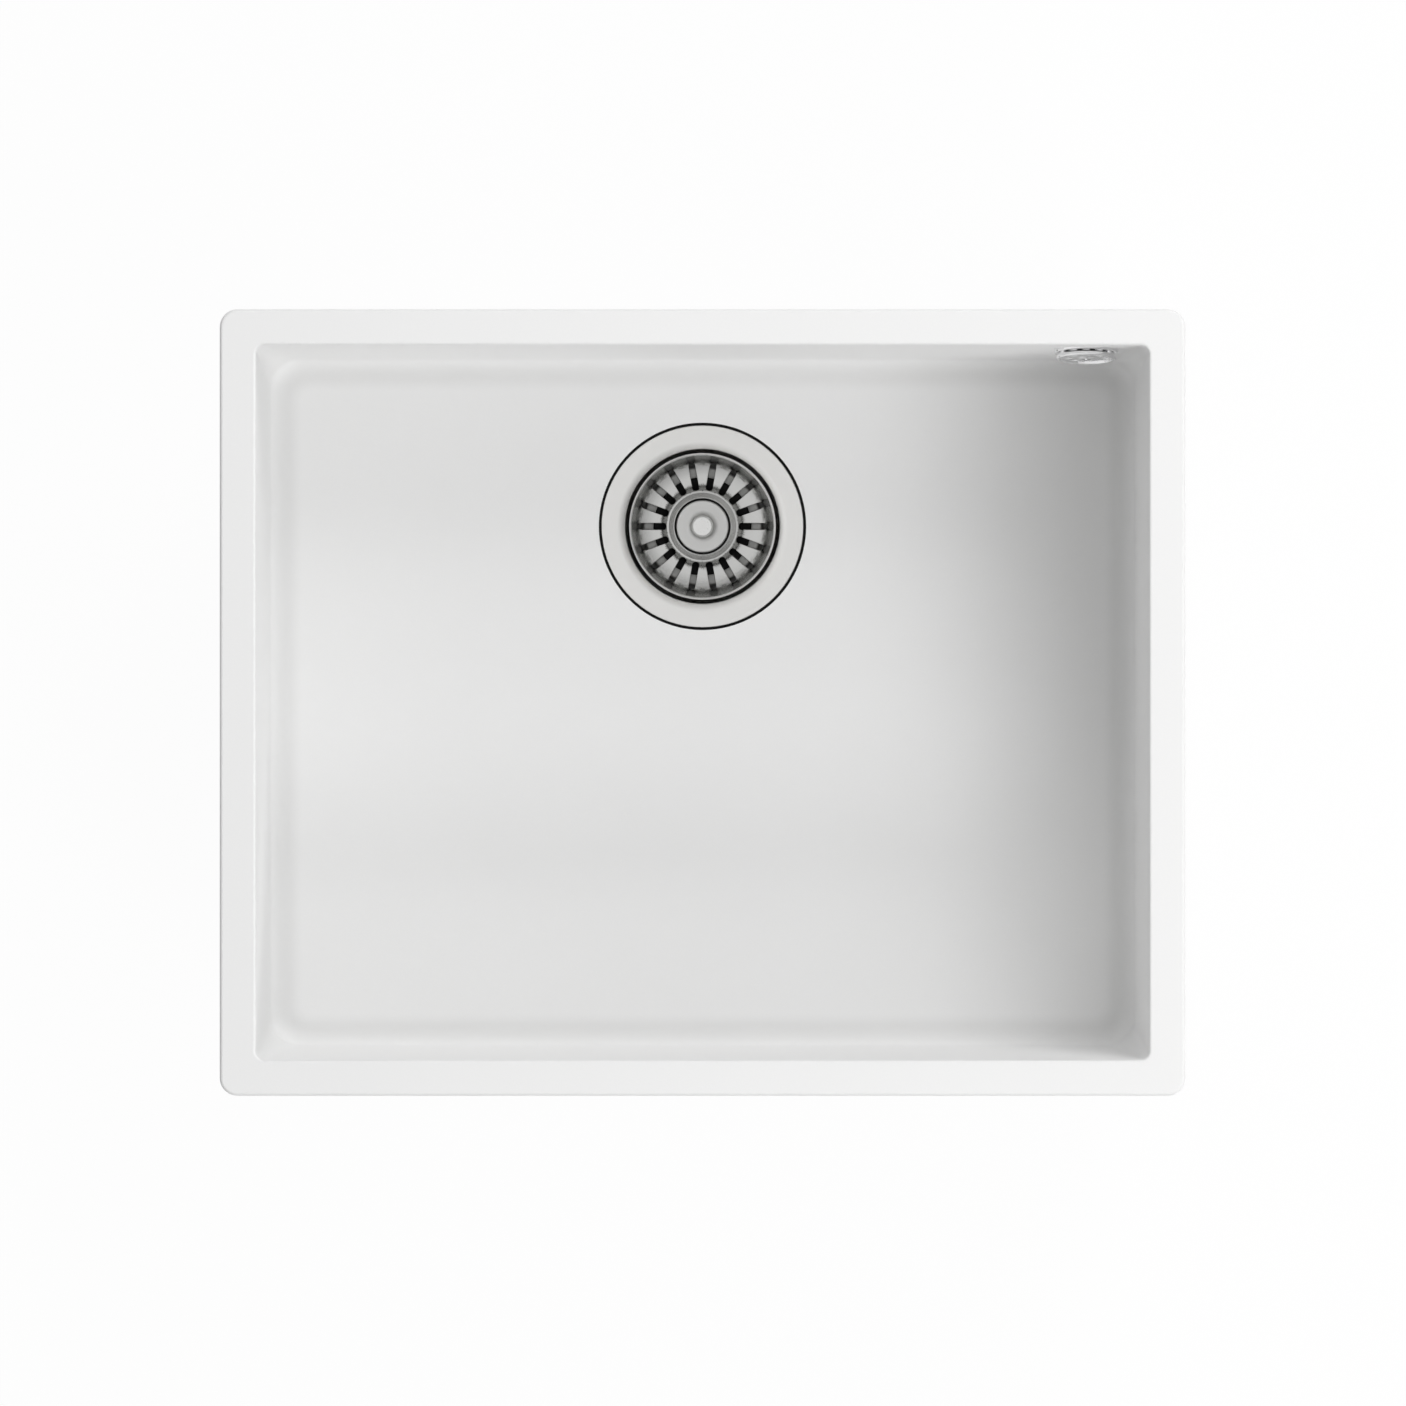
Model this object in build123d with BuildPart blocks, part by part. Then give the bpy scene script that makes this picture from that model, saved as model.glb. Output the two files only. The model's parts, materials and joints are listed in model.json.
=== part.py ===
from build123d import *

import math
import os

# A single-bowl undermount kitchen sink with its basket strainer waste and its overflow.
# Millimetres. +X is right, +Y is rear, +Z is up. The origin is the middle of the rim's top face.

# Bowl moulding
BOWL_LENGTH = 500.0  # mouth, left to right
BOWL_WIDTH = 400.0  # mouth, front to rear
BOWL_DEPTH = 200.0  # rim's top face to floor
WALL_LEAN = 8.5  # each wall leans in this much from mouth to floor
WALL = 9.0
FLOOR = 10.0
RIM_WIDTH = 20.0
RIM_THICKNESS = 10.0
RIM_CORNER = 10.0
RIM_EDGE = 1.8
MOUTH_CORNER = 5.0
MOUTH_EDGE = 1.5
FLOOR_FILLET = 12.0
FLOOR_CORNER_MARGIN = 4.0  # upright corners at the floor are this much rounder than the fillet
UNDERSIDE_MARGIN = 6.0  # so is the fillet under the bowl

# Bosses under the rim, with brass inserts for the fixing clips
INSERT_SPAN_LONG = 300.0  # between the two inserts of a long side
INSERT_SPAN_SHORT = 200.0  # between the two inserts of a short side
INSERT_DIAMETER = 8.0
INSERT_LENGTH = 12.0
INSERT_CORE = 5.0  # core of an M6 thread
INSERT_COVER = 2.0  # moulding left outside the insert
BOSS_LENGTH = 26.0
BOSS_HEIGHT = 14.0
BOSS_SETBACK = 1.0  # from the rim's outer edge
BOSS_CORNER = 3.0

# Waste: pressed steel cup and its gaskets
DRAIN_INSET = 101.5  # drain's axis from the rear side of the mouth
DRAIN_HOLE = 90.0
HOLE_CLEARANCE = 0.5
FLANGE_OVERLAP = 11.5  # flange beyond the hole
FLANGE_SHEET = 1.2
FLANGE_LIP = 4.5  # rolled edge from flange to throat
GASKET_THICKNESS = 1.0
GASKET_MARGIN = 1.5  # rubber that shows round the flange
GASKET_DROP = 0.3  # rubber stays this far below the flange's top
THROAT_DEPTH = 15.0
CUP_DEPTH = 33.0
CUP_TAPER = 10.3  # cone draws in this much from throat to seat
CUP_BEND = 3.0
WINDOW_DIAMETER = 45.0  # outlet windows in the cup's floor
WINDOW_HUB = 24.0
WINDOW_COUNT = 6
WINDOW_SPOKE = 5.0

# Waste: plastic body under the floor
BODY_GASKET = 3.0
BODY_WALL = 2.5
BODY_ROOM = 2.0  # chamber wall beyond the sink's hole
BODY_RIM = 10.0
BODY_RIM_THICKNESS = 4.0
BODY_BEND = 5.0
BODY_EDGE = 1.0
FUNNEL_HEIGHT = 14.0
OUTLET_DIAMETER = 47.8  # major diameter of a G 1 1/2 thread
OUTLET_BORE = 41.0
OUTLET_LENGTH = 34.0
GUSSET_COUNT = 5
GUSSET_THICKNESS = 2.5
GUSSET_HEIGHT = 18.0
BODY_BOSS_WALL = 1.6
BODY_BOSS_ROOF = 6.0
BODY_SPOKE_COUNT = 3
BODY_SPOKE_WIDTH = 4.0
BODY_SPOKE_HEIGHT = 7.0
SCREW_GAP = 6.8  # cup's floor to the body's boss, taken up when the screw is tightened

# Waste: hollow centre screw and its nut
SCREW_DIAMETER = 12.0
SCREW_HEAD = 20.0
SCREW_HEAD_HEIGHT = 5.5
SCREW_SOCKET = 8.4
SCREW_SOCKET_FLOOR = 9.0
SCREW_HEX = 9.6
SCREW_HEX_DEPTH = 3.0
SCREW_PASS = 0.3
NUT_HEX = 18.0
NUT_HEIGHT = 10.0
SCREW_END = 2.0  # thread that shows below the nut

# Strainer basket
BASKET_GAP = 2.2  # basket's edge to the throat
BASKET_DROP = 3.0
BASKET_SHEET = 1.0
BASKET_LIP = 1.5
BASKET_LIP_BEND = 1.3
BASKET_LEAN = 3.1  # collar under the lip leans in this much
BASKET_COLLAR_BEND = 1.5
BASKET_DISH_RISE = 3.7  # collar's foot above the floor
BASKET_DISH_SLOPE = 40.0  # degrees, at the collar's foot
BASKET_DISH_BEND = 14.0
HUB_DIAMETER = 37.4
HUB_FOOT = 3.8  # hub is this much wider at its foot, all round
HUB_BEND = 1.6
HUB_RISE = 10.0
SLOT_COUNT = 18
SLOT_WIDTH = 3.7
SLOT_INNER = 1.0  # slots start this far outside the hub
SLOT_OUTER = 3.7  # and end this far inside the lip

# Strainer: cap, knob, post, stopper and bush
CAP_DIAMETER = 29.2
CAP_HEIGHT = 2.6
CAP_EDGE = 0.9
WASHER_THICKNESS = 0.8
WASHER_MARGIN = 1.2  # black edge that shows round the cap
KNOB_DIAMETER = 11.2
KNOB_WAIST = 7.4
KNOB_BASE = 11.4
KNOB_HEIGHT = 14.0
KNOB_HEAD = 4.0
KNOB_EDGE = 0.9
KNOB_THREAD = 9.0
POST_DIAMETER = 6.0
POST_REACH = 12.0  # tip below the cup's floor
POST_TIP = 4.0
POST_TIP_HEAD = 5.4
POST_TIP_HEIGHT = 1.3
POST_NUT_HEX = 10.0
POST_NUT_HEIGHT = 5.0
STOPPER_PLATE = 1.0
STOPPER_PLATE_HUB = 18.0
STOPPER_PLATE_FOOT = 33.0
STOPPER_PLATE_BEND = 1.5
STOPPER_LAP = 4.9  # stopper ring outside the cup's windows
STOPPER_WIDTH = 8.5
STOPPER_GRIP = 3.0  # plate's edge held in the ring
STOPPER_ROOF = 0.5
STOPPER_HEIGHT = 4.5
STOPPER_BEVEL = 1.4
SEAT_GAP = 0.3  # stopper ring above its seat
STOPPER_CLEARANCE = 0.2
BUSH_LENGTH = 7.5
BUSH_PLAY = 0.2
BUSH_BORE_PLAY = 0.1
BUSH_SOCKET_PLAY = 0.3
BUSH_SLIT = 0.8
BUSH_SLIT_LENGTH = 5.0

# Overflow: rosette, grille and screw on the rear wall
OVERFLOW_INSET = 35.5  # overflow's axis from the right side of the mouth
OVERFLOW_DROP = 45.0  # below the rim's top face
OVERFLOW_TILT = 10.0  # degrees, the rosette faces a little upwards
OVERFLOW_HOLE = 30.0
ROSETTE_LAP = 3.0  # rosette beyond the hole
ROSETTE_RING = 4.8
ROSETTE_STAND = 3.2
ROSETTE_EDGE = 1.4
GRILLE_GAP = 1.1  # grille stands this far in front of the rosette, on feet
GRILLE_MARGIN = 1.5  # grille's edge inside the rosette's
GRILLE_THICKNESS = 1.1
GRILLE_RIM = 2.0
GRILLE_RIM_HEIGHT = 1.0
GRILLE_EDGE = 0.8
GRILLE_FOOT = 3.0
GRILLE_FOOT_COUNT = 3
GRILLE_HOLE = 5.0
GRILLE_HOLE_COUNT = 8
GRILLE_CIRCLE = 20.4
OVERFLOW_SCREW = 5.0
OVERFLOW_SCREW_HEAD = 9.0
OVERFLOW_SCREW_DOME = 1.1
OVERFLOW_SCREW_SLOT = 1.2
OVERFLOW_SCREW_SLOT_DEPTH = 0.7
OVERFLOW_SCREW_REACH = 17.0  # shank behind the wall's face

# Overflow: housing, duct, elbow and pipe behind and under the bowl
OVERFLOW_GASKET = 2.0
OVERFLOW_GASKET_LAP = 6.0
HOUSING_WIDTH = 48.0
HOUSING_HEAD = 25.0  # housing above the overflow's axis
HOUSING_FOOT = 35.0  # housing below the overflow's axis
HOUSING_WALL = 2.0
HOUSING_CORNER = 5.0
COLLAR_CLEARANCE = 0.5
COLLAR_SETBACK = 3.0  # collar ends this far behind the wall's face
INSERT_BOSS_START = 10.0
INSERT_BOSS_WALL = 1.6
HOUSING_NUT = 7.0
HOUSING_NUT_LENGTH = 8.0
DUCT_WIDTH = 36.0
DUCT_DEPTH = 13.0
DUCT_WALL = 1.5
DUCT_CORNER = 4.0
DUCT_CLEARANCE = 1.2  # duct to the bowl's rear
DUCT_END_GAP = 0.5
SEAL_THICKNESS = 0.5
SEAL_HEIGHT = 8.0
SEAL_INSET = 5.0  # seal from the root of its spigot
SPIGOT_LENGTH = 18.0
SPIGOT_WALL = 1.7
ELBOW_LENGTH = 38.0
ELBOW_BREADTH = 28.0
ELBOW_HEIGHT = 32.0
ELBOW_WALL = 2.0
ELBOW_CORNER = 4.0
ELBOW_REACH = 52.0  # pipe socket from the elbow's middle
PIPE_DIAMETER = 20.0
PIPE_WALL = 1.6
PIPE_INSERTION = 18.0
PIPE_CLEARANCE = 0.2
PORT_WALL = 2.8
PORT_STAND = 30.0  # port beyond the waste body's shell
UNION_WALL = 4.0
UNION_GRIP = 14.0  # nut over the thread
UNION_FACE = 2.5
UNION_WASHER = 4.0
UNION_PASS = 0.4
UNION_FLUTES = 12
UNION_FLUTE = 4.4
UNION_FLUTE_DEPTH = 1.2
PORT_CLEARANCE = 0.5

# Counts and angles that a shape has by its kind
HEX_SIDES = 6
CROSS_TURNS = (0, 90)

os.makedirs("parts", exist_ok=True)


def lean_at(depth):
    """How far a wall has leaned in at a depth below the rim."""
    return WALL_LEAN * depth / BOWL_DEPTH


def hex_radius(across_flats):
    """Corner radius of a hexagon."""
    return across_flats / math.sqrt(3)


# Bowl
RIM_LENGTH = BOWL_LENGTH + 2 * RIM_WIDTH
RIM_BREADTH = BOWL_WIDTH + 2 * RIM_WIDTH
SHELL_DEPTH = BOWL_DEPTH + FLOOR
FLOOR_CORNER = FLOOR_FILLET + FLOOR_CORNER_MARGIN
UNDERSIDE_FILLET = FLOOR_FILLET + UNDERSIDE_MARGIN
BOSS_INSET = WALL / 2  # bosses start inside the wall

with BuildPart() as bowl_hollow:
    with BuildSketch():
        RectangleRounded(BOWL_LENGTH, BOWL_WIDTH, MOUTH_CORNER)
    with BuildSketch(Plane.XY.offset(-BOWL_DEPTH)):
        RectangleRounded(BOWL_LENGTH - 2 * WALL_LEAN, BOWL_WIDTH - 2 * WALL_LEAN, FLOOR_CORNER)
    loft()
    fillet(bowl_hollow.faces().sort_by(Axis.Z)[0].edges(), FLOOR_FILLET)

with BuildPart() as bowl_shell:
    with BuildSketch():
        RectangleRounded(BOWL_LENGTH + 2 * WALL, BOWL_WIDTH + 2 * WALL, MOUTH_CORNER + WALL)
    with BuildSketch(Plane.XY.offset(-SHELL_DEPTH)):
        shell_growth = 2 * WALL - 2 * lean_at(SHELL_DEPTH)
        RectangleRounded(BOWL_LENGTH + shell_growth, BOWL_WIDTH + shell_growth, FLOOR_CORNER + WALL)
    loft()
    fillet(bowl_shell.faces().sort_by(Axis.Z)[0].edges(), UNDERSIDE_FILLET)

# Insert places: two on each side, as (x, y)
insert_inset = INSERT_COVER + BOSS_SETBACK + INSERT_DIAMETER / 2
INSERT_X = RIM_LENGTH / 2 - insert_inset
INSERT_Y = RIM_BREADTH / 2 - insert_inset
long_side_spots = [(sx * INSERT_SPAN_LONG / 2, sy * INSERT_Y) for sx in (-1, 1) for sy in (-1, 1)]
short_side_spots = [(sx * INSERT_X, sy * INSERT_SPAN_SHORT / 2) for sx in (-1, 1) for sy in (-1, 1)]
BOSS_BOTTOM = -RIM_THICKNESS - BOSS_HEIGHT
boss_depth = RIM_WIDTH - BOSS_SETBACK - BOSS_INSET
boss_middle = BOSS_INSET + boss_depth / 2

# Drain and overflow frames
DRAIN_OFFSET = BOWL_WIDTH / 2 - DRAIN_INSET
OVERFLOW_OFFSET = BOWL_LENGTH / 2 - OVERFLOW_INSET
FLOOR_CENTRE = (0, DRAIN_OFFSET, -BOWL_DEPTH)
DRAIN_AXIS = Axis(FLOOR_CENTRE, (0, 0, 1))
DRAIN = Plane(origin=FLOOR_CENTRE)
DRAIN_SECTION = Plane(origin=FLOOR_CENTRE, x_dir=(1, 0, 0), z_dir=(0, -1, 0))
FLANGE_RADIUS = DRAIN_HOLE / 2 + FLANGE_OVERLAP
GASKET_RADIUS = FLANGE_RADIUS + GASKET_MARGIN
RECESS_DEPTH = FLANGE_SHEET + GASKET_THICKNESS
DRAIN_CHAMFER = FLANGE_LIP / 2  # leaves room for the flange's rolled edge

tilt = math.radians(OVERFLOW_TILT)
draft = math.atan2(WALL_LEAN, BOWL_DEPTH)
WALL_FACE_Y = BOWL_WIDTH / 2 - lean_at(OVERFLOW_DROP)
OVERFLOW_CENTRE = (OVERFLOW_OFFSET, WALL_FACE_Y, -OVERFLOW_DROP)
OVERFLOW_LINE = (0, -math.cos(tilt), math.sin(tilt))
OVERFLOW = Plane(origin=OVERFLOW_CENTRE, x_dir=(1, 0, 0), z_dir=OVERFLOW_LINE)
OVERFLOW_AXIS = Axis(OVERFLOW_CENTRE, OVERFLOW_LINE)
OVERFLOW_SECTION = Plane(
    origin=OVERFLOW_CENTRE, x_dir=(1, 0, 0), z_dir=(0, -math.sin(tilt), -math.cos(tilt))
)
WALL_FACE = Plane(
    origin=OVERFLOW_CENTRE, x_dir=(1, 0, 0), z_dir=(0, -math.cos(draft), math.sin(draft))
)
WALL_BACK = Plane(
    origin=(OVERFLOW_OFFSET, WALL_FACE_Y + WALL, -OVERFLOW_DROP),
    x_dir=(1, 0, 0),
    z_dir=(0, math.cos(draft), -math.sin(draft)),
)

with BuildPart() as sink_bowl:
    with BuildSketch():
        RectangleRounded(RIM_LENGTH, RIM_BREADTH, RIM_CORNER)
    extrude(amount=-RIM_THICKNESS)
    add(bowl_shell.part)
    with BuildSketch(Plane.XY.offset(-RIM_THICKNESS)):
        for side in (-1, 1):
            for along in (-1, 1):
                with Locations((along * INSERT_SPAN_LONG / 2, side * (BOWL_WIDTH / 2 + boss_middle))):
                    RectangleRounded(BOSS_LENGTH, boss_depth, BOSS_CORNER)
                with Locations((side * (BOWL_LENGTH / 2 + boss_middle), along * INSERT_SPAN_SHORT / 2)):
                    RectangleRounded(boss_depth, BOSS_LENGTH, BOSS_CORNER)
    extrude(amount=-BOSS_HEIGHT)
    add(bowl_hollow.part, mode=Mode.SUBTRACT)
    fillet(sink_bowl.faces().sort_by(Axis.Z)[-1].outer_wire().edges(), RIM_EDGE)
    fillet(sink_bowl.faces().sort_by(Axis.Z)[-1].inner_wires()[0].edges(), MOUTH_EDGE)
    # Insert holes, from below
    with BuildSketch(Plane.XY.offset(BOSS_BOTTOM)):
        with Locations(*long_side_spots, *short_side_spots):
            Circle(INSERT_DIAMETER / 2)
    extrude(amount=INSERT_LENGTH, mode=Mode.SUBTRACT)
    # Recess for the flange, and the drain hole with its chamfer
    with BuildSketch(DRAIN_SECTION):
        with BuildLine():
            Polyline(
                (0, 0),
                (GASKET_RADIUS, 0),
                (GASKET_RADIUS, -RECESS_DEPTH),
                (DRAIN_HOLE / 2 + DRAIN_CHAMFER, -RECESS_DEPTH),
                (DRAIN_HOLE / 2, -RECESS_DEPTH - DRAIN_CHAMFER),
                (DRAIN_HOLE / 2, -FLOOR),
                (0, -FLOOR),
                close=True,
            )
        make_face()
    revolve(axis=DRAIN_AXIS, mode=Mode.SUBTRACT)
    # Overflow hole through the rear wall
    with BuildSketch(OVERFLOW):
        Circle(OVERFLOW_HOLE / 2)
    extrude(amount=2 * WALL, both=True, mode=Mode.SUBTRACT)
sink_bowl.part.label = "sink_bowl"
export_step(sink_bowl.part, "parts/sink_bowl.step")

with BuildPart() as rim_inserts:
    with BuildSketch(Plane.XY.offset(BOSS_BOTTOM)):
        with Locations(*long_side_spots, *short_side_spots):
            Circle(INSERT_DIAMETER / 2)
            Circle(INSERT_CORE / 2, mode=Mode.SUBTRACT)
    extrude(amount=INSERT_LENGTH)
rim_inserts.part.label = "rim_inserts"
export_step(rim_inserts.part, "parts/rim_inserts.step")

# Waste flange: one pressed sheet, flange, throat, cone and floor
THROAT_RADIUS = DRAIN_HOLE / 2 - HOLE_CLEARANCE - FLANGE_SHEET
STOPPER_RADIUS = WINDOW_DIAMETER / 2 + STOPPER_LAP
SEAT_RADIUS = THROAT_RADIUS - CUP_TAPER
SCREW_HOLE_RADIUS = SCREW_DIAMETER / 2 + SCREW_PASS

with BuildPart() as waste_flange:
    with BuildSketch(DRAIN_SECTION):
        with BuildLine():
            FilletPolyline(
                (FLANGE_RADIUS, 0),
                (THROAT_RADIUS, 0),
                (THROAT_RADIUS, -THROAT_DEPTH),
                (SEAT_RADIUS, -CUP_DEPTH),
                (SCREW_HOLE_RADIUS, -CUP_DEPTH),
                radius=[FLANGE_LIP, CUP_BEND, CUP_BEND],
            )
            offset(amount=FLANGE_SHEET, side=Side.LEFT)
        make_face()
    revolve(axis=DRAIN_AXIS)
    with BuildSketch(DRAIN.offset(-CUP_DEPTH)):
        Circle(WINDOW_DIAMETER / 2)
        Circle(WINDOW_HUB / 2, mode=Mode.SUBTRACT)
        with PolarLocations(WINDOW_DIAMETER / 4, WINDOW_COUNT):
            Rectangle(WINDOW_DIAMETER / 2, WINDOW_SPOKE, mode=Mode.SUBTRACT)
    extrude(amount=-FLANGE_SHEET, mode=Mode.SUBTRACT)
waste_flange.part.label = "waste_flange"
export_step(waste_flange.part, "parts/waste_flange.step")

with BuildPart() as flange_gasket:
    with BuildSketch(DRAIN_SECTION):
        with BuildLine():
            Polyline(
                (THROAT_RADIUS + FLANGE_LIP, -RECESS_DEPTH),
                (GASKET_RADIUS, -RECESS_DEPTH),
                (GASKET_RADIUS, -GASKET_DROP),
                (FLANGE_RADIUS, -GASKET_DROP),
                (FLANGE_RADIUS, -FLANGE_SHEET),
                (THROAT_RADIUS + FLANGE_LIP, -FLANGE_SHEET),
                close=True,
            )
        make_face()
    revolve(axis=DRAIN_AXIS)
flange_gasket.part.label = "flange_gasket"
export_step(flange_gasket.part, "parts/flange_gasket.step")

# Waste body
CHAMBER_RADIUS = DRAIN_HOLE / 2 + BODY_ROOM
BODY_RADIUS = CHAMBER_RADIUS + BODY_WALL
BODY_RIM_RADIUS = CHAMBER_RADIUS + BODY_RIM
BODY_TOP = -FLOOR - BODY_GASKET
PORT_BORE_RADIUS = PIPE_DIAMETER / 2 + PIPE_CLEARANCE
PORT_RADIUS = PORT_BORE_RADIUS + PORT_WALL
UNION_RADIUS = PORT_RADIUS + UNION_WALL
PORT_DROP = -BODY_TOP + BODY_RIM_THICKNESS + PORT_CLEARANCE + UNION_RADIUS
PORT_REACH = BODY_RADIUS + PORT_STAND
BODY_BOSS_TOP = -CUP_DEPTH - FLANGE_SHEET - SCREW_GAP
BODY_BOSS_BOTTOM = BODY_BOSS_TOP - BODY_BOSS_ROOF - NUT_HEIGHT
BODY_BOSS_RADIUS = hex_radius(NUT_HEX) + BODY_BOSS_WALL
CHAMBER_FLOOR = -max(PORT_DROP + PORT_RADIUS + BODY_WALL, BODY_SPOKE_HEIGHT - BODY_BOSS_TOP)
FUNNEL_FOOT = CHAMBER_FLOOR - FUNNEL_HEIGHT
OUTLET_END = FUNNEL_FOOT - OUTLET_LENGTH

# The elbow stands behind the bowl, below the duct, and its pipe runs straight to the drain's axis
HOUSING_BOTTOM = -OVERFLOW_DROP - HOUSING_FOOT
DUCT_FRONT = BOWL_WIDTH / 2 + WALL - lean_at(-HOUSING_BOTTOM) + DUCT_CLEARANCE
DUCT_Y = DUCT_FRONT + DUCT_DEPTH / 2
HOUSING_REAR = DUCT_FRONT + DUCT_DEPTH
ELBOW_Y = HOUSING_REAR - ELBOW_BREADTH / 2
PIPE_Z = -BOWL_DEPTH - PORT_DROP
PIPE_RUN = math.hypot(OVERFLOW_OFFSET, ELBOW_Y - DRAIN_OFFSET)
pipe_angle = math.atan2(ELBOW_Y - DRAIN_OFFSET, OVERFLOW_OFFSET)
PIPE_LINE = (math.cos(pipe_angle), math.sin(pipe_angle), 0)
PIPE_ORIGIN = (0, DRAIN_OFFSET, PIPE_Z)
PIPE = Plane(origin=PIPE_ORIGIN, x_dir=(0, 0, 1), z_dir=PIPE_LINE)
PIPE_AXIS = Axis(PIPE_ORIGIN, PIPE_LINE)
PIPE_SECTION = Plane(
    origin=PIPE_ORIGIN, x_dir=(0, 0, 1), z_dir=(-math.sin(pipe_angle), math.cos(pipe_angle), 0)
)
ELBOW_SOCKET = PIPE_RUN - ELBOW_REACH

with BuildPart() as waste_body:
    with BuildSketch(DRAIN_SECTION):
        with BuildLine():
            FilletPolyline(
                (0, BODY_TOP),
                (BODY_RIM_RADIUS, BODY_TOP),
                (BODY_RIM_RADIUS, BODY_TOP - BODY_RIM_THICKNESS),
                (BODY_RADIUS, BODY_TOP - BODY_RIM_THICKNESS),
                (BODY_RADIUS, CHAMBER_FLOOR - BODY_WALL / 2),
                (OUTLET_DIAMETER / 2, FUNNEL_FOOT - BODY_WALL / 2),
                (OUTLET_DIAMETER / 2, OUTLET_END),
                (0, OUTLET_END),
                close=True,
                radius=[0, 0, BODY_EDGE, BODY_EDGE, BODY_BEND + BODY_WALL, BODY_BEND, 0, 0],
            )
        make_face()
    revolve(axis=DRAIN_AXIS)
    # Overflow port
    with BuildSketch(PIPE):
        Circle(PORT_RADIUS)
    extrude(amount=PORT_REACH)
    # Gussets under the rim, on both sides of the port
    for index in range(GUSSET_COUNT):
        turn = pipe_angle + 2 * math.pi * (index + 1) / (GUSSET_COUNT + 1)
        gusset_plane = Plane(
            origin=FLOOR_CENTRE,
            x_dir=(math.cos(turn), math.sin(turn), 0),
            z_dir=(math.sin(turn), -math.cos(turn), 0),
        )
        with BuildSketch(gusset_plane):
            with BuildLine():
                Polyline(
                    (CHAMBER_RADIUS, BODY_TOP - BODY_RIM_THICKNESS / 2),
                    (BODY_RIM_RADIUS, BODY_TOP - BODY_RIM_THICKNESS / 2),
                    (BODY_RIM_RADIUS, BODY_TOP - BODY_RIM_THICKNESS),
                    (BODY_RADIUS, BODY_TOP - BODY_RIM_THICKNESS - GUSSET_HEIGHT),
                    (CHAMBER_RADIUS, BODY_TOP - BODY_RIM_THICKNESS - GUSSET_HEIGHT),
                    close=True,
                )
            make_face()
        extrude(amount=GUSSET_THICKNESS / 2, both=True)
    # Chamber, funnel and outlet bore
    with BuildSketch(DRAIN_SECTION):
        with BuildLine():
            FilletPolyline(
                (0, BODY_TOP),
                (CHAMBER_RADIUS, BODY_TOP),
                (CHAMBER_RADIUS, CHAMBER_FLOOR),
                (OUTLET_BORE / 2, FUNNEL_FOOT),
                (OUTLET_BORE / 2, OUTLET_END),
                (0, OUTLET_END),
                close=True,
                radius=[0, 0, BODY_BEND, BODY_BEND, 0, 0],
            )
        make_face()
    revolve(axis=DRAIN_AXIS, mode=Mode.SUBTRACT)
    with BuildSketch(PIPE):
        Circle(PORT_BORE_RADIUS)
    extrude(amount=PORT_REACH, mode=Mode.SUBTRACT)
    # Boss for the centre screw's nut, on spokes that stand clear of the port
    with BuildSketch(DRAIN.offset(BODY_BOSS_TOP)):
        Circle(BODY_BOSS_RADIUS)
    extrude(amount=BODY_BOSS_BOTTOM - BODY_BOSS_TOP)
    with BuildSketch(DRAIN.offset(BODY_BOSS_TOP)):
        spoke_length = CHAMBER_RADIUS + BODY_WALL / 2
        spoke_start = math.degrees(pipe_angle) + 180 / BODY_SPOKE_COUNT
        with PolarLocations(spoke_length / 2, BODY_SPOKE_COUNT, start_angle=spoke_start):
            Rectangle(spoke_length, BODY_SPOKE_WIDTH)
    extrude(amount=-BODY_SPOKE_HEIGHT)
    with BuildSketch(DRAIN.offset(BODY_BOSS_TOP)):
        Circle(SCREW_HOLE_RADIUS)
    extrude(amount=BODY_BOSS_BOTTOM - BODY_BOSS_TOP, mode=Mode.SUBTRACT)
    with BuildSketch(DRAIN.offset(BODY_BOSS_BOTTOM)):
        RegularPolygon(hex_radius(NUT_HEX), HEX_SIDES)
    extrude(amount=NUT_HEIGHT, mode=Mode.SUBTRACT)
waste_body.part.label = "waste_body"
export_step(waste_body.part, "parts/waste_body.step")

with BuildPart() as body_gasket:
    with BuildSketch(DRAIN.offset(BODY_TOP)):
        Circle(BODY_RIM_RADIUS)
        Circle(CHAMBER_RADIUS, mode=Mode.SUBTRACT)
    extrude(amount=BODY_GASKET)
body_gasket.part.label = "body_gasket"
export_step(body_gasket.part, "parts/body_gasket.step")

with BuildPart() as body_nut:
    with BuildSketch(DRAIN.offset(BODY_BOSS_BOTTOM)):
        RegularPolygon(hex_radius(NUT_HEX), HEX_SIDES)
        Circle(SCREW_DIAMETER / 2, mode=Mode.SUBTRACT)
    extrude(amount=NUT_HEIGHT)
body_nut.part.label = "body_nut"
export_step(body_nut.part, "parts/body_nut.step")

SCREW_TOP = SCREW_HEAD_HEIGHT - CUP_DEPTH
SOCKET_BOTTOM = BODY_BOSS_BOTTOM + SCREW_SOCKET_FLOOR

with BuildPart() as centre_screw:
    with BuildSketch(DRAIN.offset(-CUP_DEPTH)):
        Circle(SCREW_HEAD / 2)
    extrude(amount=SCREW_HEAD_HEIGHT)
    with BuildSketch(DRAIN.offset(-CUP_DEPTH)):
        Circle(SCREW_DIAMETER / 2)
    extrude(amount=BODY_BOSS_BOTTOM - SCREW_END + CUP_DEPTH)
    with BuildSketch(DRAIN.offset(SCREW_TOP)):
        Circle(SCREW_SOCKET / 2)
    extrude(amount=SOCKET_BOTTOM - SCREW_TOP, mode=Mode.SUBTRACT)
    with BuildSketch(DRAIN.offset(SCREW_TOP)):
        RegularPolygon(hex_radius(SCREW_HEX), HEX_SIDES)
    extrude(amount=-SCREW_HEX_DEPTH, mode=Mode.SUBTRACT)
centre_screw.part.label = "centre_screw"
export_step(centre_screw.part, "parts/centre_screw.step")

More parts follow.
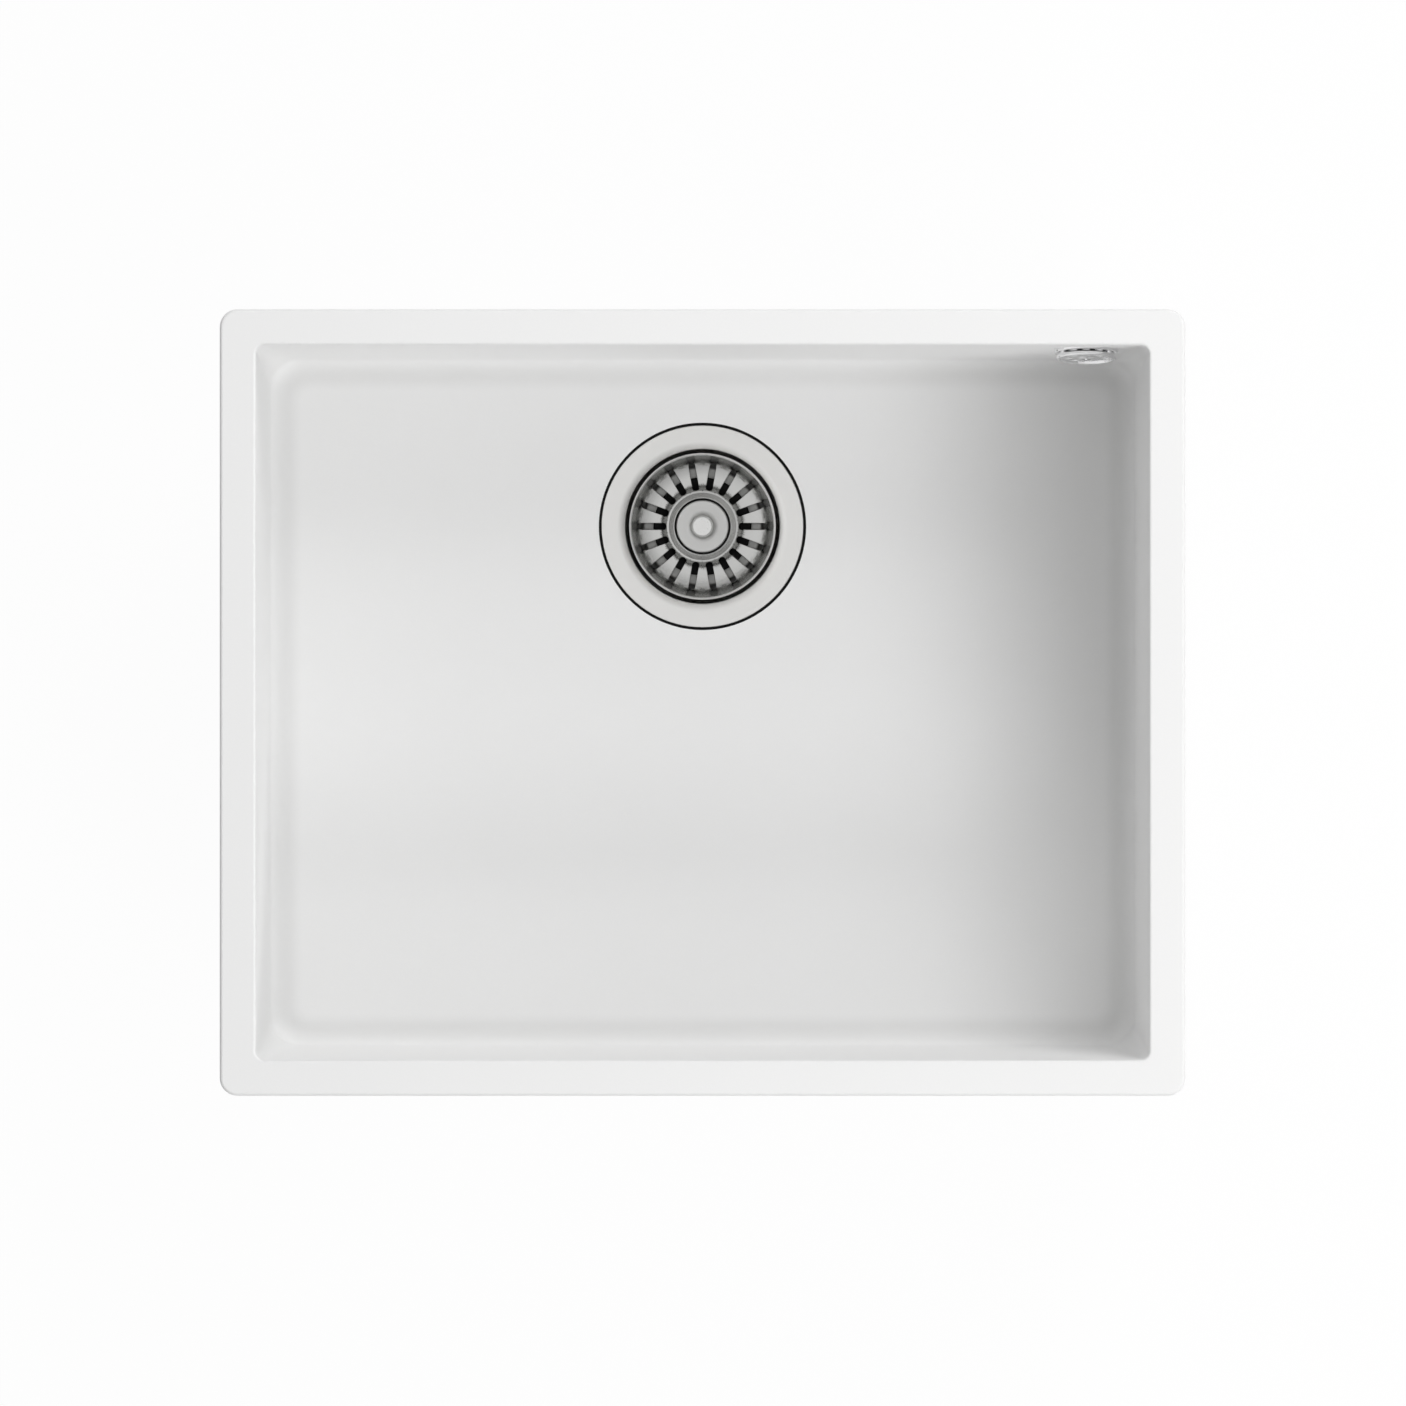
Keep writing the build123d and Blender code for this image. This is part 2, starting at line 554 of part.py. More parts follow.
# Strainer basket: lip, steep collar, slotted dish and raised hub in one pressed sheet
BASKET_RADIUS = THROAT_RADIUS - BASKET_GAP
BASKET_MOUTH = BASKET_RADIUS - BASKET_LIP
HUB_RADIUS = HUB_DIAMETER / 2
BASKET_FLOOR = -CUP_DEPTH + SEAT_GAP + STOPPER_HEIGHT + STOPPER_CLEARANCE + BASKET_SHEET
HUB_TOP = BASKET_FLOOR + HUB_RISE
BASKET_FOOT = BASKET_MOUTH - BASKET_LEAN
DISH_FOOT = BASKET_FOOT - BASKET_DISH_RISE / math.tan(math.radians(BASKET_DISH_SLOPE))
SLOT_START = HUB_RADIUS + SLOT_INNER
SLOT_END = BASKET_MOUTH - SLOT_OUTER

with BuildPart() as strainer_basket:
    with BuildSketch(DRAIN_SECTION):
        with BuildLine():
            FilletPolyline(
                (BASKET_RADIUS, -BASKET_DROP),
                (BASKET_MOUTH, -BASKET_DROP),
                (BASKET_FOOT, BASKET_FLOOR + BASKET_DISH_RISE),
                (DISH_FOOT, BASKET_FLOOR),
                (HUB_RADIUS + HUB_FOOT, BASKET_FLOOR),
                (HUB_RADIUS, HUB_TOP),
                (POST_DIAMETER / 2, HUB_TOP),
                radius=[BASKET_LIP_BEND, BASKET_COLLAR_BEND, BASKET_DISH_BEND, HUB_BEND, HUB_BEND],
            )
            offset(amount=BASKET_SHEET, side=Side.LEFT)
        make_face()
    revolve(axis=DRAIN_AXIS)
    with BuildSketch(DRAIN.offset(-BASKET_DROP)):
        with PolarLocations((SLOT_START + SLOT_END) / 2, SLOT_COUNT):
            SlotOverall(SLOT_END - SLOT_START, SLOT_WIDTH)
    extrude(amount=-CUP_DEPTH, mode=Mode.SUBTRACT)
strainer_basket.part.label = "strainer_basket"
export_step(strainer_basket.part, "parts/strainer_basket.step")

WASHER_TOP = HUB_TOP + WASHER_THICKNESS
CAP_TOP = WASHER_TOP + CAP_HEIGHT
KNOB_TOP = CAP_TOP + KNOB_HEIGHT
POST_TOP = CAP_TOP + KNOB_THREAD

with BuildPart() as hub_washer:
    with BuildSketch(DRAIN.offset(HUB_TOP)):
        Circle(CAP_DIAMETER / 2 + WASHER_MARGIN)
        Circle(POST_DIAMETER / 2, mode=Mode.SUBTRACT)
    extrude(amount=WASHER_THICKNESS)
hub_washer.part.label = "hub_washer"
export_step(hub_washer.part, "parts/hub_washer.step")

with BuildPart() as hub_cap:
    with BuildSketch(DRAIN.offset(WASHER_TOP)):
        Circle(CAP_DIAMETER / 2)
        Circle(POST_DIAMETER / 2, mode=Mode.SUBTRACT)
    extrude(amount=CAP_HEIGHT)
    cap_rim = hub_cap.edges().filter_by(GeomType.CIRCLE).group_by(Axis.Z)[-1].sort_by(SortBy.RADIUS)[-1]
    fillet(cap_rim, CAP_EDGE)
hub_cap.part.label = "hub_cap"
export_step(hub_cap.part, "parts/hub_cap.step")

with BuildPart() as lift_knob:
    with BuildSketch(DRAIN_SECTION):
        with BuildLine():
            FilletPolyline(
                (0, KNOB_TOP),
                (KNOB_DIAMETER / 2, KNOB_TOP),
                (KNOB_DIAMETER / 2, KNOB_TOP - KNOB_HEAD),
                (KNOB_WAIST / 2, (KNOB_TOP + CAP_TOP) / 2),
                (KNOB_BASE / 2, CAP_TOP),
                (0, CAP_TOP),
                close=True,
                radius=[0, KNOB_EDGE, KNOB_EDGE, KNOB_HEAD, 0, 0],
            )
        make_face()
    revolve(axis=DRAIN_AXIS)
    with BuildSketch(DRAIN.offset(CAP_TOP)):
        Circle(POST_DIAMETER / 2)
    extrude(amount=KNOB_THREAD, mode=Mode.SUBTRACT)
lift_knob.part.label = "lift_knob"
export_step(lift_knob.part, "parts/lift_knob.step")

POST_END = -CUP_DEPTH - POST_REACH
TIP_FOOT = POST_END + POST_TIP_HEIGHT
TIP_SHOULDER = TIP_FOOT + BUSH_LENGTH + 2 * BUSH_PLAY

with BuildPart() as strainer_post:
    with BuildSketch(DRAIN_SECTION):
        with BuildLine():
            Polyline(
                (0, POST_TOP),
                (POST_DIAMETER / 2, POST_TOP),
                (POST_DIAMETER / 2, TIP_SHOULDER),
                (POST_TIP / 2, TIP_SHOULDER),
                (POST_TIP / 2, TIP_FOOT),
                (POST_TIP_HEAD / 2, TIP_FOOT),
                (POST_TIP / 2, POST_END),
                (0, POST_END),
                close=True,
            )
        make_face()
    revolve(axis=DRAIN_AXIS)
strainer_post.part.label = "strainer_post"
export_step(strainer_post.part, "parts/strainer_post.step")

with BuildPart() as stem_bush:
    with BuildSketch(DRAIN.offset(TIP_FOOT + BUSH_PLAY)):
        Circle(SCREW_SOCKET / 2 - BUSH_SOCKET_PLAY)
        Circle(POST_TIP / 2 + BUSH_BORE_PLAY, mode=Mode.SUBTRACT)
    extrude(amount=BUSH_LENGTH)
    with BuildSketch(DRAIN.offset(TIP_FOOT + BUSH_PLAY)):
        for turn in CROSS_TURNS:
            Rectangle(SCREW_SOCKET, BUSH_SLIT, rotation=turn)
    extrude(amount=BUSH_SLIT_LENGTH, mode=Mode.SUBTRACT)
stem_bush.part.label = "stem_bush"
export_step(stem_bush.part, "parts/stem_bush.step")

# Stopper: pressed plate under the hub with a rubber ring on its edge
PLATE_TOP = HUB_TOP - BASKET_SHEET
RING_TOP = -CUP_DEPTH + SEAT_GAP + STOPPER_HEIGHT
RING_BOTTOM = -CUP_DEPTH + SEAT_GAP
RING_INNER = STOPPER_RADIUS - STOPPER_WIDTH
PLATE_RADIUS = RING_INNER + STOPPER_GRIP
PLATE_EDGE_TOP = RING_TOP - STOPPER_ROOF

with BuildPart() as stopper_plate:
    with BuildSketch(DRAIN_SECTION):
        with BuildLine():
            FilletPolyline(
                (PLATE_RADIUS, PLATE_EDGE_TOP),
                (STOPPER_PLATE_FOOT / 2, PLATE_EDGE_TOP),
                (STOPPER_PLATE_HUB / 2, PLATE_TOP),
                (POST_DIAMETER / 2, PLATE_TOP),
                radius=[STOPPER_PLATE_BEND, STOPPER_PLATE_BEND],
            )
            offset(amount=STOPPER_PLATE, side=Side.LEFT)
        make_face()
    revolve(axis=DRAIN_AXIS)
stopper_plate.part.label = "stopper_plate"
export_step(stopper_plate.part, "parts/stopper_plate.step")

with BuildPart() as stopper_seal:
    with BuildSketch(DRAIN_SECTION):
        with BuildLine():
            Polyline(
                (RING_INNER, RING_TOP),
                (STOPPER_RADIUS - STOPPER_BEVEL / 2, RING_TOP),
                (STOPPER_RADIUS, RING_TOP - STOPPER_BEVEL),
                (STOPPER_RADIUS, RING_BOTTOM + STOPPER_BEVEL),
                (STOPPER_RADIUS - STOPPER_BEVEL, RING_BOTTOM),
                (RING_INNER + STOPPER_BEVEL, RING_BOTTOM),
                (RING_INNER, RING_BOTTOM + STOPPER_BEVEL),
                (RING_INNER, PLATE_EDGE_TOP - STOPPER_PLATE),
                (PLATE_RADIUS, PLATE_EDGE_TOP - STOPPER_PLATE),
                (PLATE_RADIUS, PLATE_EDGE_TOP),
                (RING_INNER, PLATE_EDGE_TOP),
                close=True,
            )
        make_face()
    revolve(axis=DRAIN_AXIS)
stopper_seal.part.label = "stopper_seal"
export_step(stopper_seal.part, "parts/stopper_seal.step")

with BuildPart() as post_nut:
    with BuildSketch(DRAIN.offset(PLATE_TOP - STOPPER_PLATE)):
        RegularPolygon(hex_radius(POST_NUT_HEX), HEX_SIDES)
        Circle(POST_DIAMETER / 2, mode=Mode.SUBTRACT)
    extrude(amount=-POST_NUT_HEIGHT)
post_nut.part.label = "post_nut"
export_step(post_nut.part, "parts/post_nut.step")

# Overflow on the rear wall
ROSETTE_RADIUS = OVERFLOW_HOLE / 2 + ROSETTE_LAP
ROSETTE_BORE = ROSETTE_RADIUS - ROSETTE_RING
GRILLE_RADIUS = ROSETTE_RADIUS - GRILLE_MARGIN
GRILLE_SEAT = ROSETTE_STAND + GRILLE_GAP
GRILLE_FACE = GRILLE_SEAT + GRILLE_THICKNESS
FOOT_CIRCLE = ROSETTE_BORE + GRILLE_RADIUS
FOOT_START = 90 - 180 / GRILLE_FOOT_COUNT  # no foot at the top

with BuildPart() as overflow_rosette:
    with BuildSketch(OVERFLOW_SECTION):
        with BuildLine():
            FilletPolyline(
                (ROSETTE_BORE, -ROSETTE_RADIUS),
                (ROSETTE_BORE, ROSETTE_STAND),
                (ROSETTE_RADIUS, ROSETTE_STAND),
                (ROSETTE_RADIUS, -ROSETTE_RADIUS),
                close=True,
                radius=[0, 0, ROSETTE_EDGE, 0],
            )
        make_face()
    revolve(axis=OVERFLOW_AXIS)
    # Cut back to the leaning wall
    split(bisect_by=WALL_FACE, keep=Keep.TOP)
overflow_rosette.part.label = "overflow_rosette"
export_step(overflow_rosette.part, "parts/overflow_rosette.step")

with BuildPart() as overflow_grille:
    with BuildSketch(OVERFLOW_SECTION):
        with BuildLine():
            FilletPolyline(
                (OVERFLOW_SCREW / 2, GRILLE_SEAT),
                (GRILLE_RADIUS, GRILLE_SEAT),
                (GRILLE_RADIUS, GRILLE_FACE + GRILLE_RIM_HEIGHT),
                (GRILLE_RADIUS - GRILLE_RIM, GRILLE_FACE + GRILLE_RIM_HEIGHT),
                (GRILLE_RADIUS - GRILLE_RIM, GRILLE_FACE),
                (OVERFLOW_SCREW / 2, GRILLE_FACE),
                close=True,
                radius=[0, 0, GRILLE_EDGE, GRILLE_EDGE, 0, 0],
            )
        make_face()
    revolve(axis=OVERFLOW_AXIS)
    with BuildSketch(OVERFLOW.offset(GRILLE_SEAT)):
        with PolarLocations(GRILLE_CIRCLE / 2, GRILLE_HOLE_COUNT):
            Circle(GRILLE_HOLE / 2)
    extrude(amount=GRILLE_THICKNESS, mode=Mode.SUBTRACT)
    # Feet that stand on the rosette
    with BuildSketch(OVERFLOW.offset(GRILLE_SEAT)):
        with PolarLocations(FOOT_CIRCLE / 2, GRILLE_FOOT_COUNT, start_angle=FOOT_START):
            Circle(GRILLE_FOOT / 2)
    extrude(amount=-GRILLE_GAP)
overflow_grille.part.label = "overflow_grille"
export_step(overflow_grille.part, "parts/overflow_grille.step")

head_radius = OVERFLOW_SCREW_HEAD / 2
dome_radius = (head_radius**2 + OVERFLOW_SCREW_DOME**2) / (2 * OVERFLOW_SCREW_DOME)
dome_angle = math.degrees(math.asin(head_radius / dome_radius))
dome_middle = GRILLE_FACE + OVERFLOW_SCREW_DOME - dome_radius

with BuildPart() as overflow_screw:
    with BuildSketch(OVERFLOW_SECTION):
        with BuildLine():
            head_dome = CenterArc((0, dome_middle), dome_radius, 90 - dome_angle, dome_angle)
            Polyline(
                head_dome @ 1,
                (0, -OVERFLOW_SCREW_REACH),
                (OVERFLOW_SCREW / 2, -OVERFLOW_SCREW_REACH),
                (OVERFLOW_SCREW / 2, GRILLE_FACE),
                head_dome @ 0,
            )
        make_face()
    revolve(axis=OVERFLOW_AXIS)
    with BuildSketch(OVERFLOW.offset(GRILLE_FACE + OVERFLOW_SCREW_DOME)):
        for turn in CROSS_TURNS:
            Rectangle(OVERFLOW_SCREW, OVERFLOW_SCREW_SLOT, rotation=turn)
    extrude(amount=-OVERFLOW_SCREW_SLOT_DEPTH, mode=Mode.SUBTRACT)
overflow_screw.part.label = "overflow_screw"
export_step(overflow_screw.part, "parts/overflow_screw.step")

# Overflow behind the rear wall
COLLAR_OUTER = OVERFLOW_HOLE / 2 - COLLAR_CLEARANCE
COLLAR_INNER = COLLAR_OUTER - HOUSING_WALL
GASKET_OUTER = OVERFLOW_HOLE / 2 + OVERFLOW_GASKET_LAP
HOUSING_TOP = -OVERFLOW_DROP + HOUSING_HEAD
SPIGOT_WIDTH = DUCT_WIDTH - 2 * DUCT_WALL - 2 * SEAL_THICKNESS
SPIGOT_DEPTH = DUCT_DEPTH - 2 * DUCT_WALL - 2 * SEAL_THICKNESS
SPIGOT_CORNER = DUCT_CORNER - DUCT_WALL - SEAL_THICKNESS
PASSAGE_CORNER = SPIGOT_CORNER / 2
BOSS_RADIUS = HOUSING_NUT / 2 + INSERT_BOSS_WALL
BOSS_END = (HOUSING_REAR - HOUSING_WALL / 2 - WALL_FACE_Y) / math.cos(tilt)


def housing_front(height):
    """Front of the housing, on the gasket behind the leaning wall."""
    return BOWL_WIDTH / 2 + WALL - lean_at(-height) + OVERFLOW_GASKET / math.cos(draft)


# The collar's slanted end reaches into the hollow all round
collar_root = housing_front(-OVERFLOW_DROP) + HOUSING_WALL + COLLAR_OUTER * math.sin(tilt)
COLLAR_END = (collar_root - WALL_FACE_Y) / math.cos(tilt)

with BuildPart() as overflow_gasket:
    with BuildSketch(WALL_BACK):
        Circle(GASKET_OUTER)
    extrude(amount=OVERFLOW_GASKET)
    with BuildSketch(OVERFLOW):
        Circle(COLLAR_OUTER)
    extrude(amount=-GASKET_OUTER, mode=Mode.SUBTRACT)
overflow_gasket.part.label = "overflow_gasket"
export_step(overflow_gasket.part, "parts/overflow_gasket.step")

with BuildPart() as overflow_housing:
    with BuildSketch(Plane.YZ.offset(OVERFLOW_OFFSET - HOUSING_WIDTH / 2)):
        with BuildLine():
            Polyline(
                (housing_front(HOUSING_TOP), HOUSING_TOP),
                (HOUSING_REAR, HOUSING_TOP),
                (HOUSING_REAR, HOUSING_BOTTOM),
                (housing_front(HOUSING_BOTTOM), HOUSING_BOTTOM),
                close=True,
            )
        make_face()
    extrude(amount=HOUSING_WIDTH)
    fillet(overflow_housing.edges().filter_by(Axis.Y), HOUSING_CORNER)
    # Collar through the wall's hole
    with BuildSketch(OVERFLOW.offset(-COLLAR_SETBACK)):
        Circle(COLLAR_OUTER)
    extrude(amount=COLLAR_SETBACK - COLLAR_END)
    # Spigot for the duct
    with BuildSketch(Plane((OVERFLOW_OFFSET, DUCT_Y, HOUSING_BOTTOM))):
        RectangleRounded(SPIGOT_WIDTH, SPIGOT_DEPTH, SPIGOT_CORNER)
    extrude(amount=-SPIGOT_LENGTH)
    # Hollow
    with BuildSketch(Plane.YZ.offset(OVERFLOW_OFFSET - HOUSING_WIDTH / 2 + HOUSING_WALL)):
        with BuildLine():
            Polyline(
                (housing_front(HOUSING_TOP) + HOUSING_WALL, HOUSING_TOP - HOUSING_WALL),
                (HOUSING_REAR - HOUSING_WALL, HOUSING_TOP - HOUSING_WALL),
                (HOUSING_REAR - HOUSING_WALL, HOUSING_BOTTOM + HOUSING_WALL),
                (housing_front(HOUSING_BOTTOM) + HOUSING_WALL, HOUSING_BOTTOM + HOUSING_WALL),
                close=True,
            )
        make_face()
    extrude(amount=HOUSING_WIDTH - 2 * HOUSING_WALL, mode=Mode.SUBTRACT)
    with BuildSketch(OVERFLOW.offset(-COLLAR_SETBACK)):
        Circle(COLLAR_INNER)
    extrude(amount=COLLAR_SETBACK - COLLAR_END, mode=Mode.SUBTRACT)
    with BuildSketch(Plane((OVERFLOW_OFFSET, DUCT_Y, HOUSING_BOTTOM + HOUSING_WALL))):
        RectangleRounded(SPIGOT_WIDTH - 2 * SPIGOT_WALL, SPIGOT_DEPTH - 2 * SPIGOT_WALL, PASSAGE_CORNER)
    extrude(amount=-SPIGOT_LENGTH - HOUSING_WALL, mode=Mode.SUBTRACT)
    # Boss for the screw's insert, from the rear wall
    with BuildSketch(OVERFLOW.offset(-INSERT_BOSS_START)):
        Circle(BOSS_RADIUS)
    extrude(amount=INSERT_BOSS_START - BOSS_END)
    with BuildSketch(OVERFLOW.offset(-INSERT_BOSS_START)):
        Circle(HOUSING_NUT / 2)
    extrude(amount=-HOUSING_NUT_LENGTH, mode=Mode.SUBTRACT)
overflow_housing.part.label = "overflow_housing"
export_step(overflow_housing.part, "parts/overflow_housing.step")

with BuildPart() as housing_nut:
    with BuildSketch(OVERFLOW.offset(-INSERT_BOSS_START)):
        Circle(HOUSING_NUT / 2)
        Circle(OVERFLOW_SCREW / 2, mode=Mode.SUBTRACT)
    extrude(amount=-HOUSING_NUT_LENGTH)
housing_nut.part.label = "housing_nut"
export_step(housing_nut.part, "parts/housing_nut.step")

# Duct down the rear wall, and its two seals
ELBOW_TOP = PIPE_Z + ELBOW_HEIGHT / 2
DUCT_TOP = HOUSING_BOTTOM - DUCT_END_GAP
DUCT_BOTTOM = ELBOW_TOP + DUCT_END_GAP

with BuildPart() as overflow_duct:
    with BuildSketch(Plane((OVERFLOW_OFFSET, DUCT_Y, DUCT_BOTTOM))):
        RectangleRounded(DUCT_WIDTH, DUCT_DEPTH, DUCT_CORNER)
        RectangleRounded(
            DUCT_WIDTH - 2 * DUCT_WALL,
            DUCT_DEPTH - 2 * DUCT_WALL,
            DUCT_CORNER - DUCT_WALL,
            mode=Mode.SUBTRACT,
        )
    extrude(amount=DUCT_TOP - DUCT_BOTTOM)
overflow_duct.part.label = "overflow_duct"
export_step(overflow_duct.part, "parts/overflow_duct.step")

for seal_name, seal_bottom in (
    ("housing_seal", HOUSING_BOTTOM - SEAL_INSET - SEAL_HEIGHT),
    ("elbow_seal", ELBOW_TOP + SEAL_INSET),
):
    with BuildPart() as spigot_seal:
        with BuildSketch(Plane((OVERFLOW_OFFSET, DUCT_Y, seal_bottom))):
            RectangleRounded(
                SPIGOT_WIDTH + 2 * SEAL_THICKNESS,
                SPIGOT_DEPTH + 2 * SEAL_THICKNESS,
                SPIGOT_CORNER + SEAL_THICKNESS,
            )
            RectangleRounded(SPIGOT_WIDTH, SPIGOT_DEPTH, SPIGOT_CORNER, mode=Mode.SUBTRACT)
        extrude(amount=SEAL_HEIGHT)
    spigot_seal.part.label = seal_name
    export_step(spigot_seal.part, f"parts/{seal_name}.step")

# Elbow under the duct
ELBOW_CENTRE = (OVERFLOW_OFFSET, ELBOW_Y, PIPE_Z)

with BuildPart() as overflow_elbow:
    with Locations(ELBOW_CENTRE):
        Box(ELBOW_LENGTH, ELBOW_BREADTH, ELBOW_HEIGHT)
    fillet(overflow_elbow.edges(), ELBOW_CORNER)
    with BuildSketch(PIPE.offset(ELBOW_SOCKET)):
        Circle(PORT_RADIUS)
    extrude(amount=ELBOW_REACH)
    with BuildSketch(Plane((OVERFLOW_OFFSET, DUCT_Y, ELBOW_TOP - ELBOW_CORNER))):
        RectangleRounded(SPIGOT_WIDTH, SPIGOT_DEPTH, SPIGOT_CORNER)
    extrude(amount=SPIGOT_LENGTH + ELBOW_CORNER)
    with Locations(ELBOW_CENTRE):
        Box(
            ELBOW_LENGTH - 2 * ELBOW_WALL,
            ELBOW_BREADTH - 2 * ELBOW_WALL,
            ELBOW_HEIGHT - 2 * ELBOW_WALL,
            mode=Mode.SUBTRACT,
        )
    with BuildSketch(PIPE.offset(ELBOW_SOCKET)):
        Circle(PORT_BORE_RADIUS)
    extrude(amount=ELBOW_REACH, mode=Mode.SUBTRACT)
    with BuildSketch(Plane((OVERFLOW_OFFSET, DUCT_Y, ELBOW_TOP - ELBOW_WALL))):
        RectangleRounded(SPIGOT_WIDTH - 2 * SPIGOT_WALL, SPIGOT_DEPTH - 2 * SPIGOT_WALL, PASSAGE_CORNER)
    extrude(amount=SPIGOT_LENGTH + ELBOW_WALL, mode=Mode.SUBTRACT)
overflow_elbow.part.label = "overflow_elbow"
export_step(overflow_elbow.part, "parts/overflow_elbow.step")

with BuildPart() as overflow_pipe:
    with BuildSketch(PIPE.offset(PORT_REACH - PIPE_INSERTION)):
        Circle(PIPE_DIAMETER / 2)
        Circle(PIPE_DIAMETER / 2 - PIPE_WALL, mode=Mode.SUBTRACT)
    extrude(amount=ELBOW_SOCKET - PORT_REACH + 2 * PIPE_INSERTION)
overflow_pipe.part.label = "overflow_pipe"
export_step(overflow_pipe.part, "parts/overflow_pipe.step")

# Union nut and washer at each end of the pipe; out points from the thread towards the pipe
for union_name, face, out in (("port", PORT_REACH, 1), ("elbow", ELBOW_SOCKET, -1)):
    with BuildPart() as union_washer:
        with BuildSketch(PIPE.offset(face)):
            Circle(PORT_RADIUS)
            Circle(PIPE_DIAMETER / 2, mode=Mode.SUBTRACT)
        extrude(amount=out * UNION_WASHER)
    union_washer.part.label = f"{union_name}_washer"
    export_step(union_washer.part, f"parts/{union_name}_washer.step")

    with BuildPart() as union_nut:
        with BuildSketch(PIPE_SECTION):
            with BuildLine():
                Polyline(
                    (PORT_RADIUS, face - out * UNION_GRIP),
                    (UNION_RADIUS, face - out * UNION_GRIP),
                    (UNION_RADIUS, face + out * (UNION_WASHER + UNION_FACE)),
                    (PIPE_DIAMETER / 2 + UNION_PASS, face + out * (UNION_WASHER + UNION_FACE)),
                    (PIPE_DIAMETER / 2 + UNION_PASS, face + out * UNION_WASHER),
                    (PORT_RADIUS, face + out * UNION_WASHER),
                    close=True,
                )
            make_face()
        revolve(axis=PIPE_AXIS)
        with BuildSketch(PIPE.offset(face - out * UNION_GRIP)):
            with PolarLocations(UNION_RADIUS + UNION_FLUTE / 2 - UNION_FLUTE_DEPTH, UNION_FLUTES):
                Circle(UNION_FLUTE / 2)
        extrude(amount=out * (UNION_GRIP + UNION_WASHER + UNION_FACE), mode=Mode.SUBTRACT)
    union_nut.part.label = f"{union_name}_nut"
    export_step(union_nut.part, f"parts/{union_name}_nut.step")
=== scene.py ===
import json
import math

import bmesh
import bpy
import numpy as np
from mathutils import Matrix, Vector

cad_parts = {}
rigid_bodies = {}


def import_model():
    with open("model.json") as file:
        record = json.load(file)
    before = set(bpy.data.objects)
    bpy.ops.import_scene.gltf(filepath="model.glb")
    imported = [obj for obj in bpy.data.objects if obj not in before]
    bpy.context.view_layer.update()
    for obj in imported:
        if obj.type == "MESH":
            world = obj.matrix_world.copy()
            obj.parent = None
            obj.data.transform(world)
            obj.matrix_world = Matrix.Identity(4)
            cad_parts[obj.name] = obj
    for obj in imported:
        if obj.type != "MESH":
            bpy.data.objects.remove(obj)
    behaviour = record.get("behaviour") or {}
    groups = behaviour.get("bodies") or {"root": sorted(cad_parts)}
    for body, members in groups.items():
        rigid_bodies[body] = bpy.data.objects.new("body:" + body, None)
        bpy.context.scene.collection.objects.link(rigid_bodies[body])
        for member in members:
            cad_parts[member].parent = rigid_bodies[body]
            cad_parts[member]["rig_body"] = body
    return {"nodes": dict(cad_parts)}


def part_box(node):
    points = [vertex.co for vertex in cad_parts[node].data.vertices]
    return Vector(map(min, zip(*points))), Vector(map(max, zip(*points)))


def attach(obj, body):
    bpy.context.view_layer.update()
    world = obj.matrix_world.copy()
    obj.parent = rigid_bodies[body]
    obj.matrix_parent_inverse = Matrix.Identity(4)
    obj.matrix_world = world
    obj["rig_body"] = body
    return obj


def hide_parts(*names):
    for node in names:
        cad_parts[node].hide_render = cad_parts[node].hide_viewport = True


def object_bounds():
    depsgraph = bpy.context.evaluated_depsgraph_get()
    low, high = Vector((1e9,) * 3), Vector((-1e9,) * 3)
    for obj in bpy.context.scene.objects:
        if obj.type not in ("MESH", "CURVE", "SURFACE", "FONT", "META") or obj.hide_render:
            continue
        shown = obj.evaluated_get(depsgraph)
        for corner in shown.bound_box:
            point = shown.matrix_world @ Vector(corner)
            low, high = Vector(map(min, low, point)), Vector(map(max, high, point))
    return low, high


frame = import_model()
cad_low, cad_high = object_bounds()

# An undermount kitchen sink of white granite composite, with its basket strainer and overflow.
# Sizes are in millimetres and become metres when a mesh is made. The rim's top is at height 0.
# Pieces round the drain are made on its own axis, with heights above the sink's floor.
MM = 0.001
TURN = 2 * math.pi
HALF = TURN / 2
QUARTER = TURN / 4


def box_mm(node):
    """Lowest and highest corner of a CAD node, in millimetres."""
    low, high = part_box(node)
    return np.array(low) / MM, np.array(high) / MM


def half_width(node):
    """Half of a CAD node's size along x."""
    low, high = box_mm(node)
    return (high[0] - low[0]) / 2


def levels(node):
    """Lowest and highest level of a CAD node above the sink's floor."""
    low, high = box_mm(node)
    return low[2] - FLOOR_Z, high[2] - FLOOR_Z


# Places and outer sizes from the frame
bowl_low, bowl_high = box_mm("sink_bowl")
flange_low, flange_high = box_mm("waste_flange")
grille_low, grille_high = box_mm("overflow_grille")
elbow_low, elbow_high = box_mm("overflow_elbow")

RIM_X = bowl_high[0]
RIM_Y = bowl_high[1]
UNDERSIDE = bowl_low[2]
FLOOR_Z = flange_high[2]
DRAIN_Y = (flange_low[1] + flange_high[1]) / 2
FLANGE_RADIUS = half_width("waste_flange")
GASKET_RADIUS = half_width("flange_gasket")
BASKET_RADIUS = half_width("strainer_basket")
CAP_RADIUS = half_width("hub_cap")
GRILLE_RADIUS = half_width("overflow_grille")

# Bowl moulding
RIM_WIDTH = 20.0
RIM_THICKNESS = 10.0
RIM_CORNER = 10.0
RIM_EDGE = 1.8
RIM_LOWER_EDGE = 0.8
RIM_ROOT = 2.0
WALL = 9.0
WALL_LEAN = 8.5
MOUTH_CORNER = 5.0
MOUTH_EDGE = 1.5
FLOOR_CORNER = 16.0
FLOOR_FILLET = 12.0
UNDERSIDE_FILLET = 18.0
HOLE_RADIUS = 45.0
HOLE_CHAMFER = 2.25
RECESS_DEPTH = 2.2
BOSS_LENGTH = 26.0
BOSS_CORNER = 3.0
BOSS_EDGE = 1.0
BOSS_BOTTOM = -24.0
BOSS_SETBACK = 1.0
INSERT_SPAN_LONG = 300.0
INSERT_SPAN_SHORT = 200.0
INSERT_INSET = 7.0
INSERT_RADIUS = 4.0
